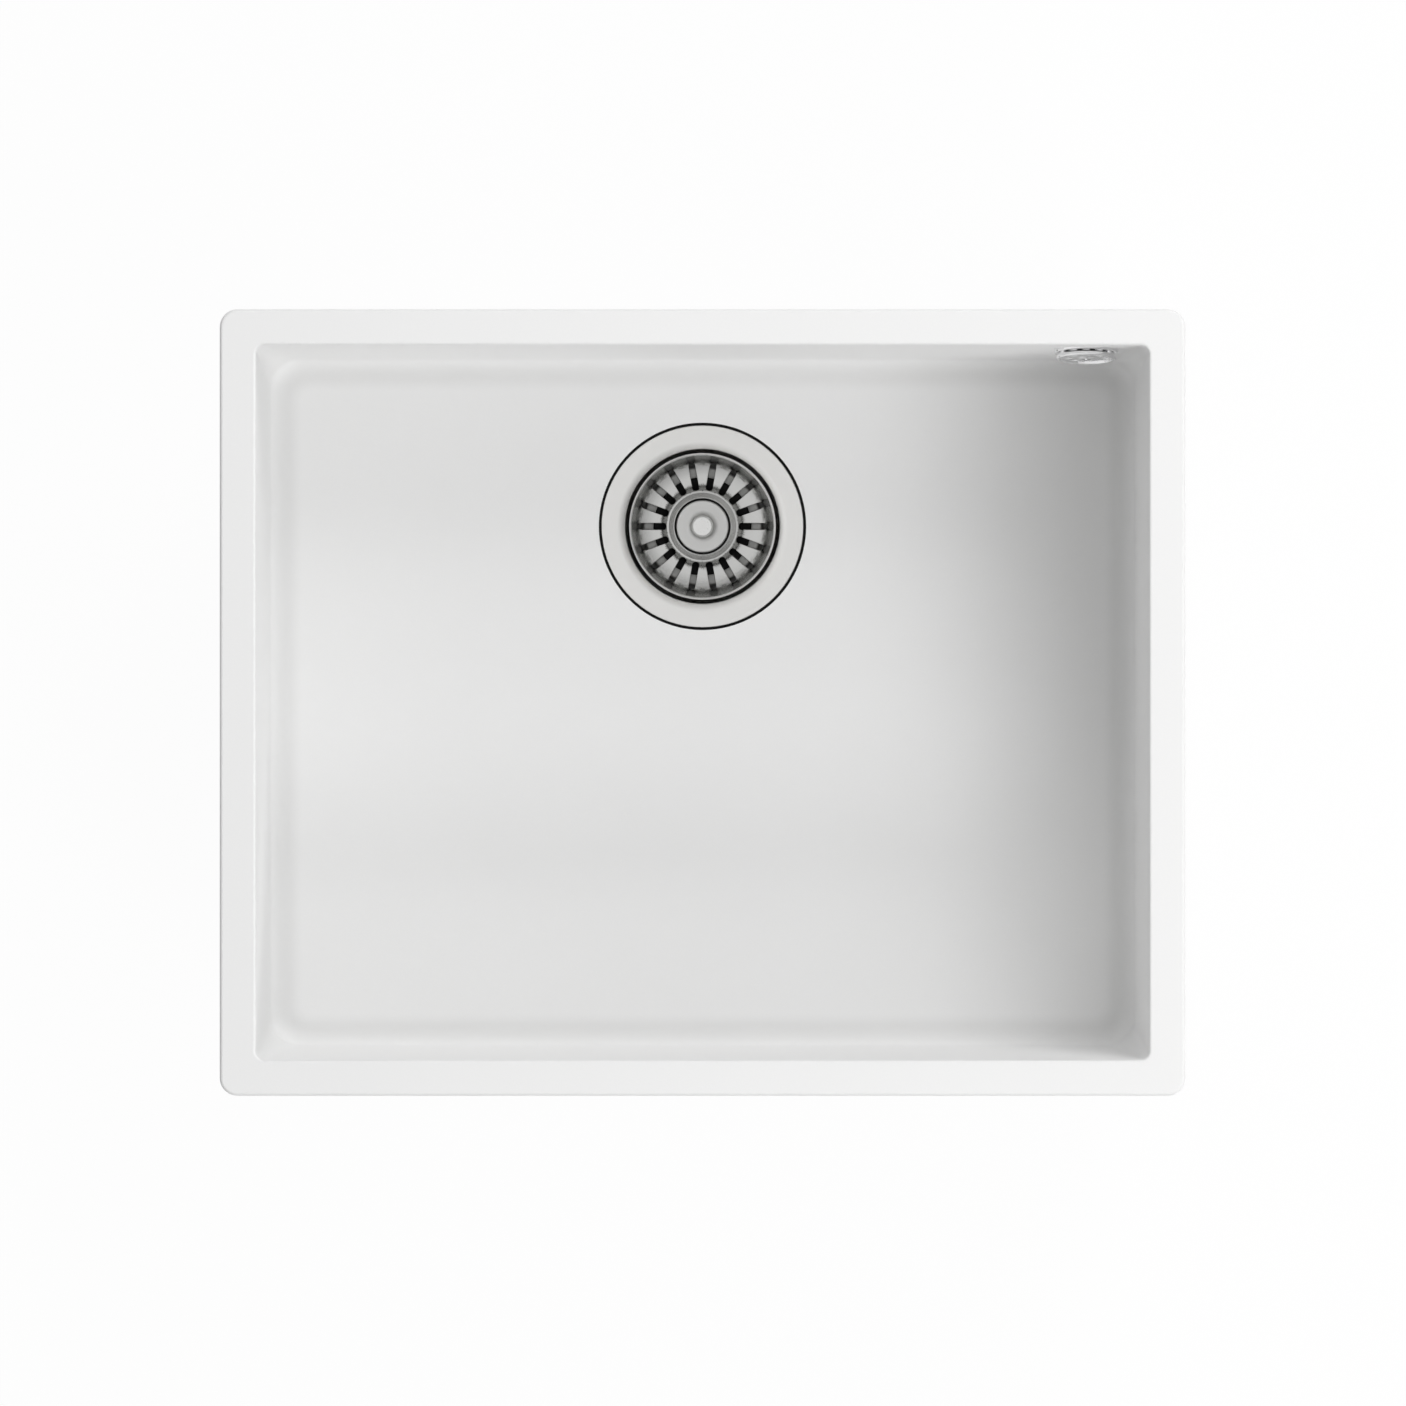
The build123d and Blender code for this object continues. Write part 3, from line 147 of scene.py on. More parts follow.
INSERT_LENGTH = 12.0
INSERT_CORE_RADIUS = 2.5
INSERT_MOUTH = 0.7
INSERT_PITCH = 1.0
INSERT_THREAD = 0.5
INSERT_THREAD_INSET = 0.8
OVERFLOW_HOLE_RADIUS = 15.0

# Pressed flange and cup, and the gasket under the flange
FLANGE_SHEET = 1.2
FLANGE_EDGE = 0.5
THROAT_RADIUS = 43.3
THROAT_DEPTH = 15.0
FLANGE_LIP = 4.5
FLANGE_ROLL = 5.8
FLANGE_ROLL_TURN = math.radians(50)
FLANGE_ROLL_RUN = 2.85
FLANGE_ROLL_EDGE = 0.3
CUP_DEPTH = 33.0
CUP_BEND = 3.0
SEAT_RADIUS = 33.0
SCREW_HOLE_RADIUS = 6.3
WINDOW_COUNT = 6
WINDOW_INNER = 12.0
WINDOW_OUTER = 22.5
WINDOW_SPOKE = 5.0
WINDOW_EDGE = 0.25
WINDOW_MARGIN = 1.6
GASKET_EDGE = 0.25

# Slotted basket
BASKET_SHEET = 1.0
BASKET_EDGE = 0.3
BASKET_TOP = -3.0
BASKET_LIP = 1.5
BASKET_LIP_BEND = 1.3
BASKET_LEAN = 3.1
BASKET_COLLAR_BEND = 3.0
BASKET_FLOOR = -27.0
BASKET_DISH_RISE = 2.6
BASKET_DISH_SLOPE = math.radians(25)
BASKET_DISH_BEND = 16.0
HUB_FOOT = 22.5
HUB_SHOULDER = 20.4
HUB_STEP = 18.9
HUB_SEAT = 15.95
HUB_TOP = -17.0
HUB_STEP_DROP = 1.8
HUB_SHOULDER_DROP = 2.0
HUB_FOOT_BEND = 1.6
HUB_SHOULDER_BEND = 1.2
HUB_STEP_BEND = 0.25
POST_RADIUS = 3.0
SLOT_COUNT = 18
SLOT_HALF_WIDTH = 1.75
SLOT_START = 20.3
SLOT_END = 36.0
SLOT_EDGE = 0.45
SLOT_BAND = (19.4, 36.7)

# Cap and knob
CAP_EDGE = 0.9
CAP_NECK = 6.0
CAP_NECK_BEND = 3.3
CAP_NECK_HEIGHT = 3.6
KNOB_HEAD_RADIUS = 5.6
KNOB_HEAD = 4.0
KNOB_WAIST = 3.7
KNOB_WAIST_DROP = 6.4
KNOB_WAIST_BEND = 4.0
KNOB_BASE = 5.2
KNOB_EDGE = 0.8

# Overflow rosette and grille
OVERFLOW_TILT = math.radians(10)
OVERFLOW_DROP = 45.0
ROSETTE_RADIUS = 18.0
ROSETTE_BORE = 13.2
ROSETTE_STAND = 3.2
ROSETTE_EDGE = 1.4
ROSETTE_BORE_EDGE = 0.3
GRILLE_BACK = 4.3
GRILLE_FRONT = 5.4
GRILLE_RIM = 2.0
GRILLE_RIM_FRONT = 6.4
GRILLE_RIM_EDGE = 0.8
GRILLE_EDGE = 0.4
GRILLE_FOOT_RADIUS = 1.5
GRILLE_FOOT_COUNT = 3
GRILLE_HOLE_COUNT = 8
GRILLE_HOLE_RADIUS = 2.5
GRILLE_CIRCLE_RADIUS = 10.2
GRILLE_SCREW_RADIUS = 2.5
GRILLE_BAND_INNER = 6.4
GRILLE_BAND_OUTER = 13.7

# Waste body
BODY_TOP = -13.0
BODY_RIM_RADIUS = 57.0
BODY_RIM_BOTTOM = -17.0
BODY_RADIUS = 49.5
CHAMBER_RADIUS = 47.0
BODY_WALL = 2.5
BODY_BEND = 5.0
BODY_EDGE = 1.0
CHAMBER_FLOOR = -50.0
FUNNEL_FOOT = -64.0
OUTLET_RADIUS = 23.9
OUTLET_BORE_RADIUS = 20.5
OUTLET_CHAMFER = 1.2
OUTLET_PITCH = 2.309
OUTLET_THREAD = 1.3
OUTLET_TURNS = 11
GUSSET_COUNT = 5
GUSSET_THICKNESS = 2.5
GUSSET_HEIGHT = 18.0
GUSSET_INSET = 0.4
BODY_BOSS_RADIUS = 12.0
BODY_BOSS_TOP = -41.0
BODY_BOSS_BOTTOM = -57.0
BODY_SPOKE_COUNT = 3
BODY_SPOKE_WIDTH = 4.0
BODY_SPOKE_HEIGHT = 7.0
BODY_NUT_SIDES = 6
BODY_NUT_HEX = 18.0
BODY_NUT_HEIGHT = 10.0

# Overflow pipe's ports and union nuts
ELBOW_BREADTH = 28.0
ELBOW_HEIGHT = 32.0
ELBOW_REACH = 52.0
PORT_RADIUS = 13.0
PORT_BORE_RADIUS = 10.2
PORT_REACH = 79.5
PORT_EDGE = 0.6
UNION_RADIUS = 17.0
UNION_GRIP = 14.0
UNION_SEAT = 4.0
UNION_FACE = 6.5
UNION_PASS_RADIUS = 10.4
UNION_EDGE = 1.4
UNION_FLUTES = 12
UNION_FLUTE_RADIUS = 2.2
UNION_FLUTE_DEPTH = 1.2
UNION_FLUTE_STEPS = 24

# Fineness of the grids
ARC_STEPS = 10
CORNER_STEPS = 10
THREAD_STEPS = 8
LATHE_STEPS = 96
GASKET_STEPS = 160
KNOB_STEPS = 72
ROSETTE_STEPS = 128
INSERT_STEPS = 40
CUTTER_STEPS = 48
BOSS_STEPS = 3
WALL_STEPS = 6
FLOOR_STEPS = 8
CUT_MARGIN = 1.0
WELD = 2e-6
SHARP_ANGLE = math.radians(32)
# Points on the bowl's right side, rear, left side and front
BOWL_POINTS = (24, 44, 24, 28)
# Steps round a pierced hole: across each end, along each side, and out to its sector's edge
END_STEPS = 16
SIDE_STEPS = 14
SECTOR_STEPS = 5
# Shares of a pierced hole's rounded edge that get a ring of points
EDGE_SHARES = (0.0, 0.1, 0.3, 0.6, 1.0)


def wall_inset(height):
    """How far the bowl's wall has leant in from the mouth at a height, which grows evenly with depth."""
    return WALL_LEAN * height / FLOOR_Z


LEAN = math.atan2(WALL_LEAN, -FLOOR_Z)
DRAIN_ORIGIN = (0, DRAIN_Y, FLOOR_Z)

# The overflow's middle and its own axes: x to the right, y up the rosette's face, z out of the wall
OVERFLOW_CENTRE = (
    (grille_low[0] + grille_high[0]) / 2,
    RIM_Y - RIM_WIDTH - wall_inset(-OVERFLOW_DROP),
    -OVERFLOW_DROP,
)
OVERFLOW_PLACE = (
    OVERFLOW_CENTRE,
    (1, 0, 0),
    (0, math.sin(OVERFLOW_TILT), math.cos(OVERFLOW_TILT)),
    (0, -math.cos(OVERFLOW_TILT), math.sin(OVERFLOW_TILT)),
)

# The overflow pipe's start and its own axes: x up, y level, z along it from the drain's axis to the elbow
PIPE_X = OVERFLOW_CENTRE[0]
PIPE_Y = elbow_high[1] - ELBOW_BREADTH / 2 - DRAIN_Y
PIPE_ANGLE = math.atan2(PIPE_Y, PIPE_X)
PIPE_RUN = math.hypot(PIPE_Y, PIPE_X)
PIPE_PLACE = (
    (0, DRAIN_Y, elbow_low[2] + ELBOW_HEIGHT / 2),
    (0, 0, 1),
    (math.sin(PIPE_ANGLE), -math.cos(PIPE_ANGLE), 0),
    (math.cos(PIPE_ANGLE), math.sin(PIPE_ANGLE), 0),
)


# Shapes as grids of points


class Skin:
    """Grids of points that are joined into one mesh, with touching edges welded."""

    def __init__(self):
        self.points = []
        self.quads = []
        self.size = 0

    def add(self, grid, round_rows=False, round_columns=False):
        """Quads between the neighbours of a grid of shape (copies..., rows, columns, 3)."""
        rows, columns = grid.shape[-3:-1]
        copies = grid.reshape(-1, rows * columns, 3)
        row = np.arange(rows if round_rows else rows - 1)[:, None]
        column = np.arange(columns if round_columns else columns - 1)[None, :]
        next_row = (row + 1) % rows
        next_column = (column + 1) % columns
        corners = (
            row * columns + column,
            next_row * columns + column,
            next_row * columns + next_column,
            row * columns + next_column,
        )
        quads = np.stack(corners, axis=-1).reshape(-1, 4)
        starts = self.size + rows * columns * np.arange(len(copies))
        self.quads.append((quads + starts[:, None, None]).reshape(-1, 4))
        self.points.append(copies.reshape(-1, 3))
        self.size += copies.shape[0] * rows * columns

    def join(self, other):
        """Takes the points and quads of another skin."""
        self.points += other.points
        self.quads += [quads + self.size for quads in other.quads]
        self.size += other.size

    def moved(self, origin, x_axis=(1, 0, 0), y_axis=(0, 1, 0), z_axis=(0, 0, 1)):
        """Every point p becomes origin + px * x_axis + py * y_axis + pz * z_axis."""
        axes = np.array([x_axis, y_axis, z_axis], float)
        self.points = [points @ axes + np.array(origin, float) for points in self.points]
        return self

    def mesh(self, name):
        """One mesh in metres, welded, with its faces turned outwards."""
        made = bpy.data.meshes.new(name)
        points = np.concatenate(self.points) * MM
        made.from_pydata(points.tolist(), [], np.concatenate(self.quads).tolist())
        work = bmesh.new()
        work.from_mesh(made)
        bmesh.ops.remove_doubles(work, verts=work.verts, dist=WELD)
        bmesh.ops.recalc_face_normals(work, faces=work.faces)
        work.to_mesh(made)
        work.free()
        return made


def unit(vectors):
    """The same directions, each with length 1."""
    return vectors / np.linalg.norm(vectors, axis=-1, keepdims=True)


def left_of(vectors):
    """Flat vectors turned a quarter to the left."""
    return np.stack([-vectors[..., 1], vectors[..., 0]], axis=-1)


def rounded(*corners):
    """A path through corners (x, y), where a corner (x, y, radius) becomes an arc.

    An arc starts radius * tan(turn / 2) before its corner, and its points are evenly spaced by angle.
    """
    points = np.array([corner[:2] for corner in corners], float)
    path = []
    for index, (point, (_, _, *bend)) in enumerate(zip(points, corners)):
        if not bend:
            path.append(point[None])
            continue
        radius = bend[0]
        arrive = unit(point - points[index - 1])
        leave = unit(points[index + 1] - point)
        turn = math.atan2(arrive[0] * leave[1] - arrive[1] * leave[0], arrive @ leave)
        start = point - arrive * radius * math.tan(abs(turn) / 2)
        centre = start + left_of(arrive) * math.copysign(radius, turn)
        angles = np.linspace(0, turn, ARC_STEPS + 1)[:, None]
        spoke = start - centre
        path.append(centre + np.cos(angles) * spoke + np.sin(angles) * left_of(spoke))
    return np.concatenate(path)


def beside(path, distance):
    """A path at a distance to the left of another, moved along the mean normal of its two runs."""
    runs = unit(np.diff(path, axis=0))
    first = np.concatenate([runs[:1], runs])
    second = np.concatenate([runs, runs[-1:]])
    middle = unit(first + second)
    mitre = 1 / np.sum(middle * first, axis=1, keepdims=True)
    return path + distance * mitre * left_of(middle)


def swept(radius, angles, height):
    """Points (r cos a, r sin a, z) for radii, angles and heights that spread over one grid."""
    radius, angles, height = np.broadcast_arrays(radius, angles, height)
    return np.stack([radius * np.cos(angles), radius * np.sin(angles), height], axis=-1)


def turned(profile, angles):
    """Surface of revolution: each (r, z) of the profile becomes (r cos a, r sin a, z) at every angle a."""
    profile = np.asarray(profile, float)
    return swept(profile[:, :1], angles, profile[:, 1:])


def full_turn(steps):
    """Evenly spaced angles all the way round."""
    return np.linspace(0, TURN, steps, endpoint=False)


def lathe(profile, steps=LATHE_STEPS, ring=False):
    """A profile turned all the way round. For a ring, the profile's end is joined to its start."""
    skin = Skin()
    skin.add(turned(profile, full_turn(steps)), round_rows=ring, round_columns=True)
    return skin


def cylinder(radius, start, end, steps=LATHE_STEPS):
    """A solid cylinder between two levels, or a prism where its steps are few."""
    return lathe(((0, start), (radius, start), (radius, end), (0, end)), steps)


def thread(crest, depth, pitch, low, high, steps):
    """A round thread as one long strip that climbs a pitch in each turn and shares its edges with itself.

    Where u runs from 0 to 1 across a pitch, the radius is crest - depth * fade * (1 - cos(2 pi u)) / 2.
    The fade goes to 0 at both ends, where the strip is cut off at the heights low and high.
    """
    turns = math.ceil((high - low) / pitch) + 1
    across = np.linspace(0, 1, THREAD_STEPS + 1)[:, None]
    along = np.arange(turns * steps + 1) / steps
    height = np.clip(low + pitch * (along + across - 1), low, high)
    fade = np.clip(np.minimum(height - low, high - height) / pitch, 0, 1)
    radius = crest - depth * fade * (1 - np.cos(TURN * across)) / 2
    return swept(radius, TURN * along, height)


def arc(x, y, radius, start, stop, steps=ARC_STEPS):
    """Points on a circle round (x, y), from one angle to another."""
    angles = np.linspace(start, stop, steps + 1)
    return np.stack([x + radius * np.cos(angles), y + radius * np.sin(angles)], axis=1)


def between(first, last, steps):
    """Evenly spaced steps from one point or loop to another, with both ends: first (1 - s) + last s."""
    first = np.asarray(first, float)
    last = np.asarray(last, float)
    share = np.linspace(0, 1, steps + 1).reshape(-1, *[1] * first.ndim)
    return first * (1 - share) + last * share


def solid(loops):
    """A closed solid from loops, with its two ends drawn together to their middles."""
    start, end = (loop.mean(axis=1, keepdims=True) + 0 * loop for loop in (loops[:1], loops[-1:]))
    skin = Skin()
    skin.add(np.concatenate([start, loops, end]), round_columns=True)
    return skin


# Pressed and pierced sheet


def join_runs(*runs):
    """A closed loop from runs that each start where the last one ends."""
    return np.concatenate([run[:-1] for run in runs])


def slot_loop(start, end, half_width):
    """A slot along x: two half circles joined by two straight sides."""
    inner = start + half_width
    outer = end - half_width
    return join_runs(
        arc(inner, 0, half_width, -QUARTER, -3 * QUARTER, END_STEPS),
        between((inner, half_width), (outer, half_width), SIDE_STEPS),
        arc(outer, 0, half_width, QUARTER, -QUARTER, END_STEPS),
        between((outer, -half_width), (inner, -half_width), SIDE_STEPS),
    )


def hole_loop(centre, radius):
    """A circle, cut into four quarters that face the four sides of its sector."""
    eighth = QUARTER / 2
    return join_runs(
        arc(centre, 0, radius, -3 * eighth, -5 * eighth, END_STEPS),
        arc(centre, 0, radius, 3 * eighth, eighth, SIDE_STEPS),
        arc(centre, 0, radius, eighth, -eighth, END_STEPS),
        arc(centre, 0, radius, -eighth, -3 * eighth, SIDE_STEPS),
    )


def sector_loop(inner, outer, half_angle):
    """Edge of a sector: along its inner arc, out, back along its outer arc, and in.

    half_angle is a function of the radius, so that a sector between parallel spokes has it too.
    """
    across = np.linspace(-1, 1, END_STEPS + 1)
    radii = np.linspace(inner, outer, SIDE_STEPS + 1)
    angles = join_runs(
        across * half_angle(inner), half_angle(radii), -across * half_angle(outer), -half_angle(radii[::-1])
    )
    distances = join_runs(inner + 0 * across, radii, outer + 0 * across, radii[::-1])
    return np.stack([distances * np.cos(angles), distances * np.sin(angles)], axis=1)


def pierced_band(skin, count, first_angle, inner, outer, loop, edge, top, bottom):
    """A ring of sheet between two radii with one hole in each of its sectors.

    Rings of points go from the hole's edge, grown outwards step by step, to the edge of the sector.
    The sheet's faces are functions of the radius, and the top drops round the hole by a quarter circle
    of radius edge. Returns the angles of the sectors' points, for the rings inside and outside the band.
    """
    half = TURN / count / 2
    border = sector_loop(inner, outer, lambda radius: half + 0 * np.asarray(radius))
    outwards = unit(left_of(np.roll(loop, -1, axis=0) - np.roll(loop, 1, axis=0)))
    shares = np.array(EDGE_SHARES)[:, None]
    near = loop + edge * shares[..., None] * outwards
    plan = np.concatenate([near, between(near[-1], border, SECTOR_STEPS)[1:]])
    radius = np.hypot(plan[..., 0], plan[..., 1])
    drop = np.zeros(radius.shape)
    drop[: len(shares)] = edge * (1 - np.sqrt(1 - (1 - shares) ** 2))
    turns = first_angle + TURN / count * np.arange(count)
    cos, sin, one, zero = np.cos(turns), np.sin(turns), 1 + 0 * turns, 0 * turns
    spins = np.array([[cos, sin, zero], [-sin, cos, zero], [zero, zero, one]]).transpose(2, 0, 1)
    sheets = []
    for height in (top(radius) - drop, bottom(radius)):
        face = np.concatenate([plan, height[..., None]], axis=-1)
        sheets.append(np.einsum("rcp,spq->srcq", face, spins))
        skin.add(sheets[-1], round_columns=True)
    skin.add(np.stack([sheet[:, 0] for sheet in sheets], axis=1), round_columns=True)
    across = np.linspace(-half, half, END_STEPS + 1)[:-1]
    return (turns[:, None] + across).ravel()


def cut_at(path, radius, first):
    """The part of a path on one side of a radius, with a point put in on that radius."""
    inside = path[:, 0] < radius
    crossing = np.flatnonzero(inside[1:] != inside[:-1])[0]
    start, end = path[crossing], path[crossing + 1]
    point = start + (end - start) * (radius - start[0]) / (end[0] - start[0])
    if first:
        return np.concatenate([path[: crossing + 1], point[None]])
    return np.concatenate([point[None], path[crossing + 1 :]])


def along_path(path):
    """Height of a path as a function of the radius."""
    order = np.argsort(path[:, 0])
    return lambda radius: np.interp(radius, path[order, 0], path[order, 1])


def pressed_sheet(sheet, *corners):
    """Upper and lower face of a bent sheet, from its rounded outer edge inwards.

    The lower face lies at the sheet's thickness from the upper one, measured square to it.
    """
    outer_radius, top, edge = corners[0]
    upper = rounded((outer_radius, top - sheet), *corners)
    start = np.flatnonzero(upper[:, 0] <= outer_radius - edge)[0]
    lower = beside(upper[start:], sheet)
    lower[0, 0] = outer_radius
    return upper, lower


def pierced_sheet(faces, count, first_angle, band, loop, edge):
    """A turned sheet with a ring of holes between the two radii of the band."""
    skin = Skin()
    inner, outer = band
    across = [cut_at(cut_at(face, outer, False), inner, True) for face in faces]
    heights = [along_path(face) for face in across]
    angles = pierced_band(skin, count, first_angle, inner, outer, loop, edge, *heights)
    upper, lower = faces
    outside = (cut_at(lower, outer, True)[::-1], cut_at(upper, outer, True)[1:])
    inside = (cut_at(upper, inner, False), cut_at(lower, inner, False)[::-1])
    for path in (outside, inside):
        skin.add(turned(np.concatenate(path), angles), round_columns=True)
    return skin


# Bowl


def even_shares(start, end, offset, count):
    """Shares along a side at which a viewer at the drain sees equal angles.

    start and end are places along the side from the foot of the viewer, and offset is the distance to it.
    """
    angles = np.linspace(math.atan2(start, offset), math.atan2(end, offset), count + 2)[1:-1]
    return (offset * np.tan(angles) - start) / (end - start)


def rounded_loops(rows, shares):
    """Rectangles with round corners, one loop for each row of (half x, half y, corner, height).

    A loop runs along the right side, the rear, the left and the front, with an arc after each side.
    """
    half_x, half_y, corner, height = (column[:, None] for column in np.asarray(rows, float).T)
    run_x = half_x - corner
    run_y = half_y - corner
    right, rear, left, front = (1 - 2 * share for share in shares)
    sides = (
        (half_x + 0 * right, -run_y * right, run_x, run_y),
        (run_x * rear, half_y + 0 * rear, -run_x, run_y),
        (-half_x + 0 * left, run_y * left, -run_x, -run_y),
        (-run_x * front, -half_y + 0 * front, run_x, -run_y),
    )
    xs = []
    ys = []
    for index, (side_x, side_y, middle_x, middle_y) in enumerate(sides):
        turn = np.linspace(0, QUARTER, CORNER_STEPS + 1) + index * QUARTER
        xs += [side_x, middle_x + corner * np.cos(turn)]
        ys += [side_y, middle_y + corner * np.sin(turn)]
    x = np.concatenate(xs, axis=1)
    y = np.concatenate(ys, axis=1)
    return np.stack([x, y, height + 0 * x], axis=-1)


def beside_wall(height, radius):
    """Inset of the middle of a fillet that touches the leaning wall."""
    return wall_inset(height) + radius / math.cos(LEAN)


def wall_rows(path, setback, top_corner):
    """Rows for rounded_loops from points (inset, height) along a leaning wall and its fillets.

    setback is the wall's distance from the rim's edge at the top. The wall's corners grow rounder evenly
    with depth, and a fillet's corners are smaller by as much as it stands in from the wall.
    """
    inset, height = path.T
    rounder = (FLOOR_CORNER - MOUTH_CORNER) * height / FLOOR_Z
    corner = top_corner + rounder - (inset - wall_inset(height))
    return np.stack([RIM_X - setback - inset, RIM_Y - setback - inset, corner, height], axis=1)


def inner_rows():
    """Rows of the hollow from the rim's top, over the mouth's edge, down the wall and round the fillet."""
    mouth = arc(beside_wall(-MOUTH_EDGE, -MOUTH_EDGE), -MOUTH_EDGE, MOUTH_EDGE, QUARTER, LEAN)
    foot_z = FLOOR_Z + FLOOR_FILLET
    foot = arc(beside_wall(foot_z, FLOOR_FILLET), foot_z, FLOOR_FILLET, HALF + LEAN, 3 * QUARTER)
    wall = between(mouth[-1], foot[0], WALL_STEPS)[1:-1]
    return wall_rows(np.concatenate([mouth, wall, foot]), RIM_WIDTH, MOUTH_CORNER)


def outer_rows():
    """Rows of the outside from the underside up the wall, under the rim and over its edge."""
    foot_z = UNDERSIDE + UNDERSIDE_FILLET
    foot_middle = beside_wall(foot_z, UNDERSIDE_FILLET)
    foot = arc(foot_middle, foot_z, UNDERSIDE_FILLET, 3 * QUARTER, HALF + LEAN)
    root_z = -RIM_THICKNESS - RIM_ROOT
    root = arc(beside_wall(root_z, -RIM_ROOT), root_z, RIM_ROOT, LEAN, QUARTER)
    wall = between(foot[-1], root[0], WALL_STEPS)[1:-1]
    lower = arc(RIM_LOWER_EDGE, RIM_LOWER_EDGE - RIM_THICKNESS, RIM_LOWER_EDGE, 3 * QUARTER, HALF)
    upper = arc(RIM_EDGE, -RIM_EDGE, RIM_EDGE, HALF, QUARTER)
    inset, height = np.concatenate([lower, upper]).T
    rim = np.stack([RIM_X - inset, RIM_Y - inset, RIM_CORNER - inset, height], axis=1)
    outside = wall_rows(np.concatenate([foot, wall, root]), RIM_WIDTH - WALL, MOUTH_CORNER + WALL)
    return np.concatenate([outside, rim])


def drain_rings(loop, rows):
    """Circles round the drain, at the angles at which the drain sees the points of a loop."""
    angles = np.arctan2(loop[:, 1] - DRAIN_Y, loop[:, 0])
    return turned(rows, angles) + np.array([0, DRAIN_Y, 0])


def bowl_mesh():
    """The whole moulding as one closed surface: loops over the rim, down the hollow, across the floor
    to the drain hole and back under the floor and up the outside."""
    inner = inner_rows()
    floor_x, floor_y, floor_corner, _ = inner[-1]
    run_x = floor_x - floor_corner
    run_y = floor_y - floor_corner
    sides = (
        (-run_y - DRAIN_Y, run_y - DRAIN_Y, floor_x),
        (-run_x, run_x, floor_y - DRAIN_Y),
        (-run_y + DRAIN_Y, run_y + DRAIN_Y, floor_x),
        (-run_x, run_x, floor_y + DRAIN_Y),
    )
    shares = [even_shares(*side, count) for side, count in zip(sides, BOWL_POINTS)]
    hollow = rounded_loops(inner, shares)
    outside = rounded_loops(outer_rows(), shares)
    drain = drain_rings(
        hollow[-1],
        (
            (GASKET_RADIUS, FLOOR_Z),
            (GASKET_RADIUS, FLOOR_Z - RECESS_DEPTH),
            (HOLE_RADIUS + HOLE_CHAMFER, FLOOR_Z - RECESS_DEPTH),
            (HOLE_RADIUS, FLOOR_Z - RECESS_DEPTH - HOLE_CHAMFER),
            (HOLE_RADIUS, UNDERSIDE),
        ),
    )
    floor = between(hollow[-1], drain[0], FLOOR_STEPS)[1:-1]
    underside = between(drain[-1], outside[0], FLOOR_STEPS)[1:-1]
    skin = Skin()
    rows = np.concatenate([hollow, floor, drain, underside, outside])
    skin.add(rows, round_rows=True, round_columns=True)
    return skin.mesh("bowl_moulding")


def fixing_places(inset):
    """Eight places round the rim at an inset from its edge, as (x, y, whether that side runs along x)."""
    places = []
    for side in (-1, 1):
        for along in (-1, 1):
            places.append((along * INSERT_SPAN_LONG / 2, side * (RIM_Y - inset), True))
            places.append((side * (RIM_X - inset), along * INSERT_SPAN_SHORT / 2, False))
    return places


def bosses_skin():
    """Bosses: round-cornered blocks with a rounded lower edge, sunk into the rim above them."""
    half_length = BOSS_LENGTH / 2
    half_depth = (RIM_WIDTH - BOSS_SETBACK - WALL / 2) / 2
    shares = 4 * [np.linspace(0, 1, BOSS_STEPS + 1)[1:-1]]
    edge = arc(BOSS_EDGE, BOSS_BOTTOM + BOSS_EDGE, BOSS_EDGE, 3 * QUARTER, HALF)
    inset, height = np.concatenate([edge, [(0, -RIM_THICKNESS / 2)]]).T
    skin = Skin()
    for x, y, along_x in fixing_places(BOSS_SETBACK + half_depth):
        half_x, half_y = (half_length, half_depth) if along_x else (half_depth, half_length)
        rows = np.stack([half_x - inset, half_y - inset, BOSS_CORNER - inset, height], axis=1)
        skin.join(solid(rounded_loops(rows, shares)).moved((x, y, 0)))
    return skin


def inserts_skin():
    """Eight brass bushes under the rim, each with a chamfered mouth and an M6 thread."""
    top = BOSS_BOTTOM + INSERT_LENGTH
    thread_low = BOSS_BOTTOM + INSERT_THREAD_INSET
    thread_high = top - INSERT_THREAD_INSET
    bush = (
        (INSERT_CORE_RADIUS, thread_low),
        (INSERT_CORE_RADIUS + INSERT_MOUTH, BOSS_BOTTOM),
        (INSERT_RADIUS, BOSS_BOTTOM),
        (INSERT_RADIUS, top),
        (INSERT_CORE_RADIUS, top),
        (INSERT_CORE_RADIUS, thread_high),
    )
    bore = thread(INSERT_CORE_RADIUS, -INSERT_THREAD, INSERT_PITCH, thread_low, thread_high, INSERT_STEPS)
    skin = Skin()
    for x, y, _ in fixing_places(INSERT_INSET):
        insert = lathe(bush, INSERT_STEPS)
        insert.add(bore)
        skin.join(insert.moved((x, y, 0)))
    return skin


def cutters_skin():
    """Cylinders for the insert holes under the rim and for the overflow hole in the rear wall."""
    skin = Skin()
    for x, y, _ in fixing_places(INSERT_INSET):
        hole = cylinder(INSERT_RADIUS, BOSS_BOTTOM - CUT_MARGIN, BOSS_BOTTOM + INSERT_LENGTH, CUTTER_STEPS)
        skin.join(hole.moved((x, y, 0)))
    skin.join(cylinder(OVERFLOW_HOLE_RADIUS, -2 * WALL, 2 * WALL).moved(*OVERFLOW_PLACE))
    return skin


def combined(mesh, steps):
    """A mesh after boolean steps, each an operation and the skin that it takes."""
    base = bpy.data.objects.new(mesh.name, mesh)
    tools = []
    for index, (_, skin) in enumerate(steps):
        tool_name = f"{mesh.name}_step_{index}"
        tools.append(bpy.data.objects.new(tool_name, skin.mesh(tool_name)))
    for item in (base, *tools):
        bpy.context.scene.collection.objects.link(item)
    for (operation, _), tool in zip(steps, tools):
        step = base.modifiers.new(tool.name, "BOOLEAN")
        step.operation = operation
        step.solver = "EXACT"
        step.object = tool
    graph = bpy.context.evaluated_depsgraph_get()
    result = bpy.data.meshes.new_from_object(base.evaluated_get(graph))
    for item in (base, *tools):
        bpy.data.objects.remove(item)
    result.name = mesh.name
    return result


# Strainer waste


